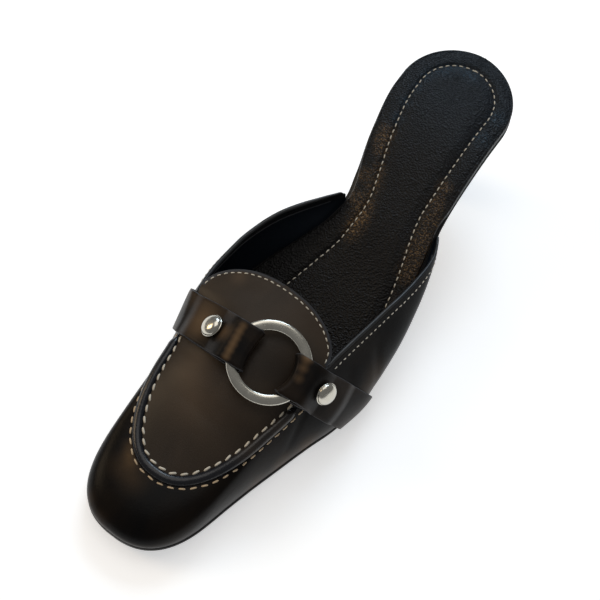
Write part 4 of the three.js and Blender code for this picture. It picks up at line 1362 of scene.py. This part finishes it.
# Straps: two bands of the same leather with cut edges, one from each side of the sole. Each is
# folded back round the ring and riveted to itself under a stud.
STRAP_LOW_END = 0.03  # its low end, as a share of the way up the wall
LAYER_RAMP = 7  # length over which its layers part or come together
SEAM_BLEND = 0.08
STUD_RADIUS = 4.7
STUD_FROM_RING = {INNER: 6.8, OUTER: 5.2}  # stud's centre to the outer edge of the ring
STUD_ASIDE = {INNER: 0, OUTER: 1.2}  # and this far back of the strap's middle line
FOLD_END = 5  # the strap's folded end reaches this far past the edge of the stud
CUT_ROUND = 0.3
STRAP_COLUMNS, RIM_COLUMNS = 15, 3


def strap_surface(side, way, across):
    """The vamp's surface under the strap: 0 at the sole, 1 at the seam, 2 at the vamp's middle."""
    climb = np.minimum(way, 1)
    travel = solved(lambda t: -across_strap(wall(t, side, climb)[0]), -across, 0.2, 1.8)
    on_wall, wall_normal, _ = wall(travel, side, climb)
    share = 2 - np.maximum(way, 1)

    def spot(at):
        middle, half = apron_span(at)
        return apron(middle + side * half * share, at)

    on_apron, apron_normal = spot(solved(lambda at: across_strap(spot(at)[0]), across, NOTCH, 0.8))
    lower = (way <= 1)[..., None]
    blend = np.clip(1 - np.abs(way - 1) / SEAM_BLEND, 0, 1)[..., None] / 2
    own = np.where(lower, wall_normal, apron_normal)
    other = np.where(lower, apron_normal, wall_normal)
    return np.where(lower, on_wall, on_apron), unit(mix(own, other, blend))


def strap_line(side, across):
    """Functions for the face of the strap that looks at the ring's bar, on one line of it."""
    way = np.linspace(STRAP_LOW_END, 2.7, 240)
    spots, normals = strap_surface(side, way, np.full_like(way, across))
    start = np.sum((spots - ring_middle) * ring_out, -1) * side
    last = int(np.argmax(start < 0))
    share = start[last - 1] / (start[last - 1] - start[last])
    spots[last] = mix(spots[last - 1], spots[last], share)
    spots, normals = spots[last::-1], normals[last::-1]
    run = run_of(spots)

    def laid(r, height):
        on = lambda values: np.stack([np.interp(r, run, values[:, k]) for k in range(3)], -1)
        return on(spots) + unit(on(normals)) * np.asarray(height, float)[..., None]

    end = RING_RADIUS + STUD_FROM_RING[side] + STUD_RADIUS + FOLD_END
    fold = fold_run(side, across)
    parted = lambda r: smooth(r, RING_RADIUS - CLEARANCE, RING_RADIUS + LAYER_RAMP)[..., None]

    def over(r):
        doubled = 1 - smooth(r, end, end + LAYER_RAMP)
        height = STRAP_SEAT + (STRAP_THICKNESS + CLEARANCE) * doubled
        return mix(in_ring(side * r, across, HALF_VOID), laid(r, height), parted(r))

    def under(r):
        on_vamp = laid(r, np.full_like(r, STRAP_SEAT + STRAP_THICKNESS))
        return mix(in_ring(side * r, across, -HALF_VOID), on_vamp, parted(r))

    def folded(angle):
        return in_ring(side * (fold - 2 * CLEARANCE * np.cos(angle)), across, HALF_VOID * np.sin(angle))

    return over, under, folded, fold, run[-1], end


def strap_grid(side):
    paths = []
    for across in np.linspace(-1, 1, STRAP_COLUMNS) * STRAP_WIDTH / 2:
        over, under, folded, fold, whole, end = strap_line(side, across)
        paths.append(np.concatenate([
            over(np.linspace(whole, fold, 150)),
            folded(np.pi * (0.5 - np.linspace(0, 1, 18)[1:-1])),
            under(np.linspace(fold, end, 60)),
        ]))
    face = np.stack(paths, 1)
    along = np.gradient(face, axis=0)
    across = unit(np.gradient(face, axis=1))
    outward = unit(np.cross(along, across)) * side
    top = face + outward * STRAP_THICKNESS

    def rim(k, way, share, bulge):
        spot = face[:, k] + outward[:, k] * STRAP_THICKNESS * share
        return (spot + across[:, k] * way * CUT_ROUND * bulge)[:, None]

    right = [rim(-1, 1, share, bulge) for share, bulge in ((0.85, 0.6), (0.5, 1), (0.15, 0.6))]
    left = [rim(0, -1, share, bulge) for share, bulge in ((0.15, 0.6), (0.5, 1), (0.85, 0.6))]
    return np.concatenate([top, *right, face[:, ::-1], *left], 1)


def strap_kind(i, j):
    """0 for the two faces of the strap and 1 for its cut edges."""
    return (j % (STRAP_COLUMNS + RIM_COLUMNS) >= STRAP_COLUMNS - 1) + 0 * i


strap_leather = smooth_leather(
    "strap leather",
    (0.007, 0.0062, 0.006),
    (0.21, 0.125, 0.062),
    0.32,
    patch=30,
    grain=0.045,
    # Painted highlights: a bronze streak across each strap's bend before the ring, and painted warm sheen on
    # the inner strap round its stud.
    wear_and_sheen=[
        (-5, -142, 47.5, 3, 0.6),
        (-4.8, -144.5, 47, 3, 0.7),
        (-4.4, -147, 46.3, 3, 0.7),
        (-4, -149.5, 45.6, 3, 0.7),
        (-3.6, -152, 44.9, 3, 0.7),
        (-3.2, -154.5, 44, 3, 0.6),
        (21, -136, 44, 4, 0.7),
        (22, -140, 43, 3.5, 0.4),
        (23, -144, 42, 3.5, 0.3),
        (-21, -145, 38, 11, 0.4),
        (-10, -147, 45, 6, 0.3),
    ],
    even=0.15,
    gloss=0.08,
    uneven=1,
)
for side, word in ((INNER, "inner"), (OUTER, "outer")):
    strap = surface(
        f"strap_loop_{word}",
        strap_grid(side),
        [strap_leather, cut_edge],
        around=True,
        ends=True,
        turn=side == INNER,
        finish_of=strap_kind,
    )
    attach(strap, "root")
    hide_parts(f"strap_{word}")

# Studs: domed nickel-plated rivet caps, each turned down to a thin rim and hammered through both
# layers of its strap.
STUD_DOME = 2.2
STUD_RIM = 0.6


def stud_seat(side):
    run = RING_RADIUS + STUD_FROM_RING[side]
    across = -STUD_ASIDE[side]

    def place(k, reach):
        angle = 2 * np.pi * k / 8
        over = strap_line(side, across + reach * math.sin(angle))[0]
        return over(np.array([run + reach * math.cos(angle)]))[0]

    rim = [place(k, STUD_RADIUS) for k in range(8)]
    middle = place(0, 0)
    normal = unit(np.cross(rim[0] - rim[4], rim[2] - rim[6]))
    normal = normal * (-1 if normal[2] < 0 else 1)
    proud = max(np.dot(spot - middle, normal) for spot in [middle, *rim])
    return middle + normal * (proud + STRAP_THICKNESS + CLEARANCE), normal


def stud_grid(side):
    base, normal = stud_seat(side)
    beside = unit(np.cross(normal, (0, 1, 0)))
    ahead = np.cross(normal, beside)
    bend = np.linspace(0, np.pi / 2, 16)
    crown_radius = STUD_RADIUS * 0.94
    profile = [
        # radius, height
        (STUD_RADIUS - 0.3, -CLEARANCE),
        (STUD_RADIUS, 0.1),
        (STUD_RADIUS, STUD_RIM - 0.15),
        (STUD_RADIUS - 0.1, STUD_RIM),
        *((crown_radius * math.cos(a) ** 0.8, STUD_RIM + STUD_DOME * math.sin(a)) for a in bend[:-1]),
        (0.02, STUD_RIM + STUD_DOME),
    ]
    turn = np.linspace(0, 2 * np.pi, 64, endpoint=False)[:, None]
    spoke = np.cos(turn) * beside + np.sin(turn) * ahead
    return np.stack([base + normal * height + radius * spoke for radius, height in profile])


for side, word in ((INNER, "inner"), (OUTER, "outer")):
    stud = surface(f"stud_cap_{word}", stud_grid(side), [nickel], around=True, ends=True)
    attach(stud, "root")
    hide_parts(f"stud_{word}")

# Floor, lights and camera: a plain white floor, large soft lights behind the heel, overhead and
# to the inner side, and a camera that looks down on the shoe from in front of its toe.
def floor_finish():
    finish = Finish("white floor", Roughness=0.9, Emission_Strength=0.5)
    cloudy = finish.noise(60, 3, 0.5)
    return finish.paint(
        Base_Color=finish.color(cloudy, (0.92, 0.92, 0.92, 1), (0.94, 0.94, 0.94, 1)),
        Emission_Color=(1, 1, 1, 1),
    )


FLOOR_SIZE = 6
floor_mesh = bpy.data.meshes.new("floor")
corners = [(x * FLOOR_SIZE, y * FLOOR_SIZE, 0) for x, y in ((-1, -1), (1, -1), (1, 1), (-1, 1))]
floor_mesh.from_pydata(corners, [], [(0, 1, 2, 3)])
floor_mesh.materials.append(floor_finish())
floor = bpy.data.objects.new("floor", floor_mesh)
bpy.context.scene.collection.objects.link(floor)

LIT_SPOT = (0, -0.1, 0.02)  # the middle of the shoe, in metres


def soft_light(name, place, size, power, color):
    light = bpy.data.lights.new(name, "AREA")
    light.shape = "RECTANGLE"
    light.size, light.size_y = size
    light.energy = power
    light.color = color
    lamp = bpy.data.objects.new(name, light)
    lamp.location = place
    lamp.rotation_euler = (Vector(LIT_SPOT) - Vector(place)).to_track_quat("-Z", "Y").to_euler()
    bpy.context.scene.collection.objects.link(lamp)


soft_light("window", (-0.42, 0.95, 1.0), (0.7, 0.4), 8, (0.68, 0.84, 1.0))
soft_light("overhead", (-0.42, 0.2, 1.6), (1.2, 1.2), 6, (1.0, 0.97, 0.93))
soft_light("warm side", (-1.1, -0.5, 0.7), (0.5, 0.6), 4, (1.0, 0.78, 0.52))

world = bpy.data.worlds.new("studio")
bpy.context.scene.world = world
world.use_nodes = True
backdrop = world.node_tree.nodes["Background"]
backdrop.inputs["Color"].default_value = (1, 1, 1, 1)
backdrop.inputs["Strength"].default_value = 0.2

# The camera's place was found by matching the seams, edges and ring of the photo.
IMAGE = 600
FOCAL = 1028  # pixels
LOOK_DOWN = 57.55  # degrees
ROLL = 7.14  # degrees
TURN = -30.95  # the shoe's own turn on the floor, seen from the camera
DISTANCE = 497.57  # millimetres
SHOE_MIDDLE = 125  # from the back of the seat
ASIDE = (32.48, -14.53)  # millimetres on the floor, from the line of sight to the shoe's middle
SHOE_IN_PICTURE = (58.8, 17.7)  # pixels right of and below the line of sight to the fitted middle
ZOOM = 1.12  # the one shoe is shown a little larger than in the photo


def camera_matrix():
    down, roll, turn = (math.radians(v) for v in (LOOK_DOWN, ROLL, TURN))
    forward = Vector((0, math.cos(down), -math.sin(down)))
    upward = Vector((0, math.sin(down), math.cos(down)))
    right = Vector((1, 0, 0))
    place = -forward * DISTANCE - Vector((*ASIDE, 0))
    to_shoe = Matrix.Rotation(-turn, 3, "Z")
    rolled_right = right * math.cos(roll) + upward * math.sin(roll)
    rolled_up = upward * math.cos(roll) - right * math.sin(roll)
    axes = [to_shoe @ v for v in (rolled_right, rolled_up, -forward)]
    # From the same place the camera is panned to bring the shoe to the middle of the picture.
    aim = axes[0] * (SHOE_IN_PICTURE[0] / FOCAL) - axes[1] * (SHOE_IN_PICTURE[1] / FOCAL) - axes[2]
    pan = (-axes[2]).rotation_difference(aim)
    axes = [pan @ v for v in axes]
    place = to_shoe @ place - Vector((0, SHOE_MIDDLE - TO_HEEL_MIDDLE, 0))
    rows = [[*(axis[r] for axis in axes), place[r] * MM] for r in range(3)]
    return Matrix([*rows, (0, 0, 0, 1)])


camera_data = bpy.data.cameras.new("camera")
camera_data.sensor_width = 36
camera_data.lens = ZOOM * FOCAL / IMAGE * camera_data.sensor_width
camera_data.clip_start = 0.01
camera = bpy.data.objects.new("camera", camera_data)
camera.matrix_world = camera_matrix()
bpy.context.scene.collection.objects.link(camera)
bpy.context.scene.camera = camera
bpy.context.scene.view_settings.view_transform = "Standard"
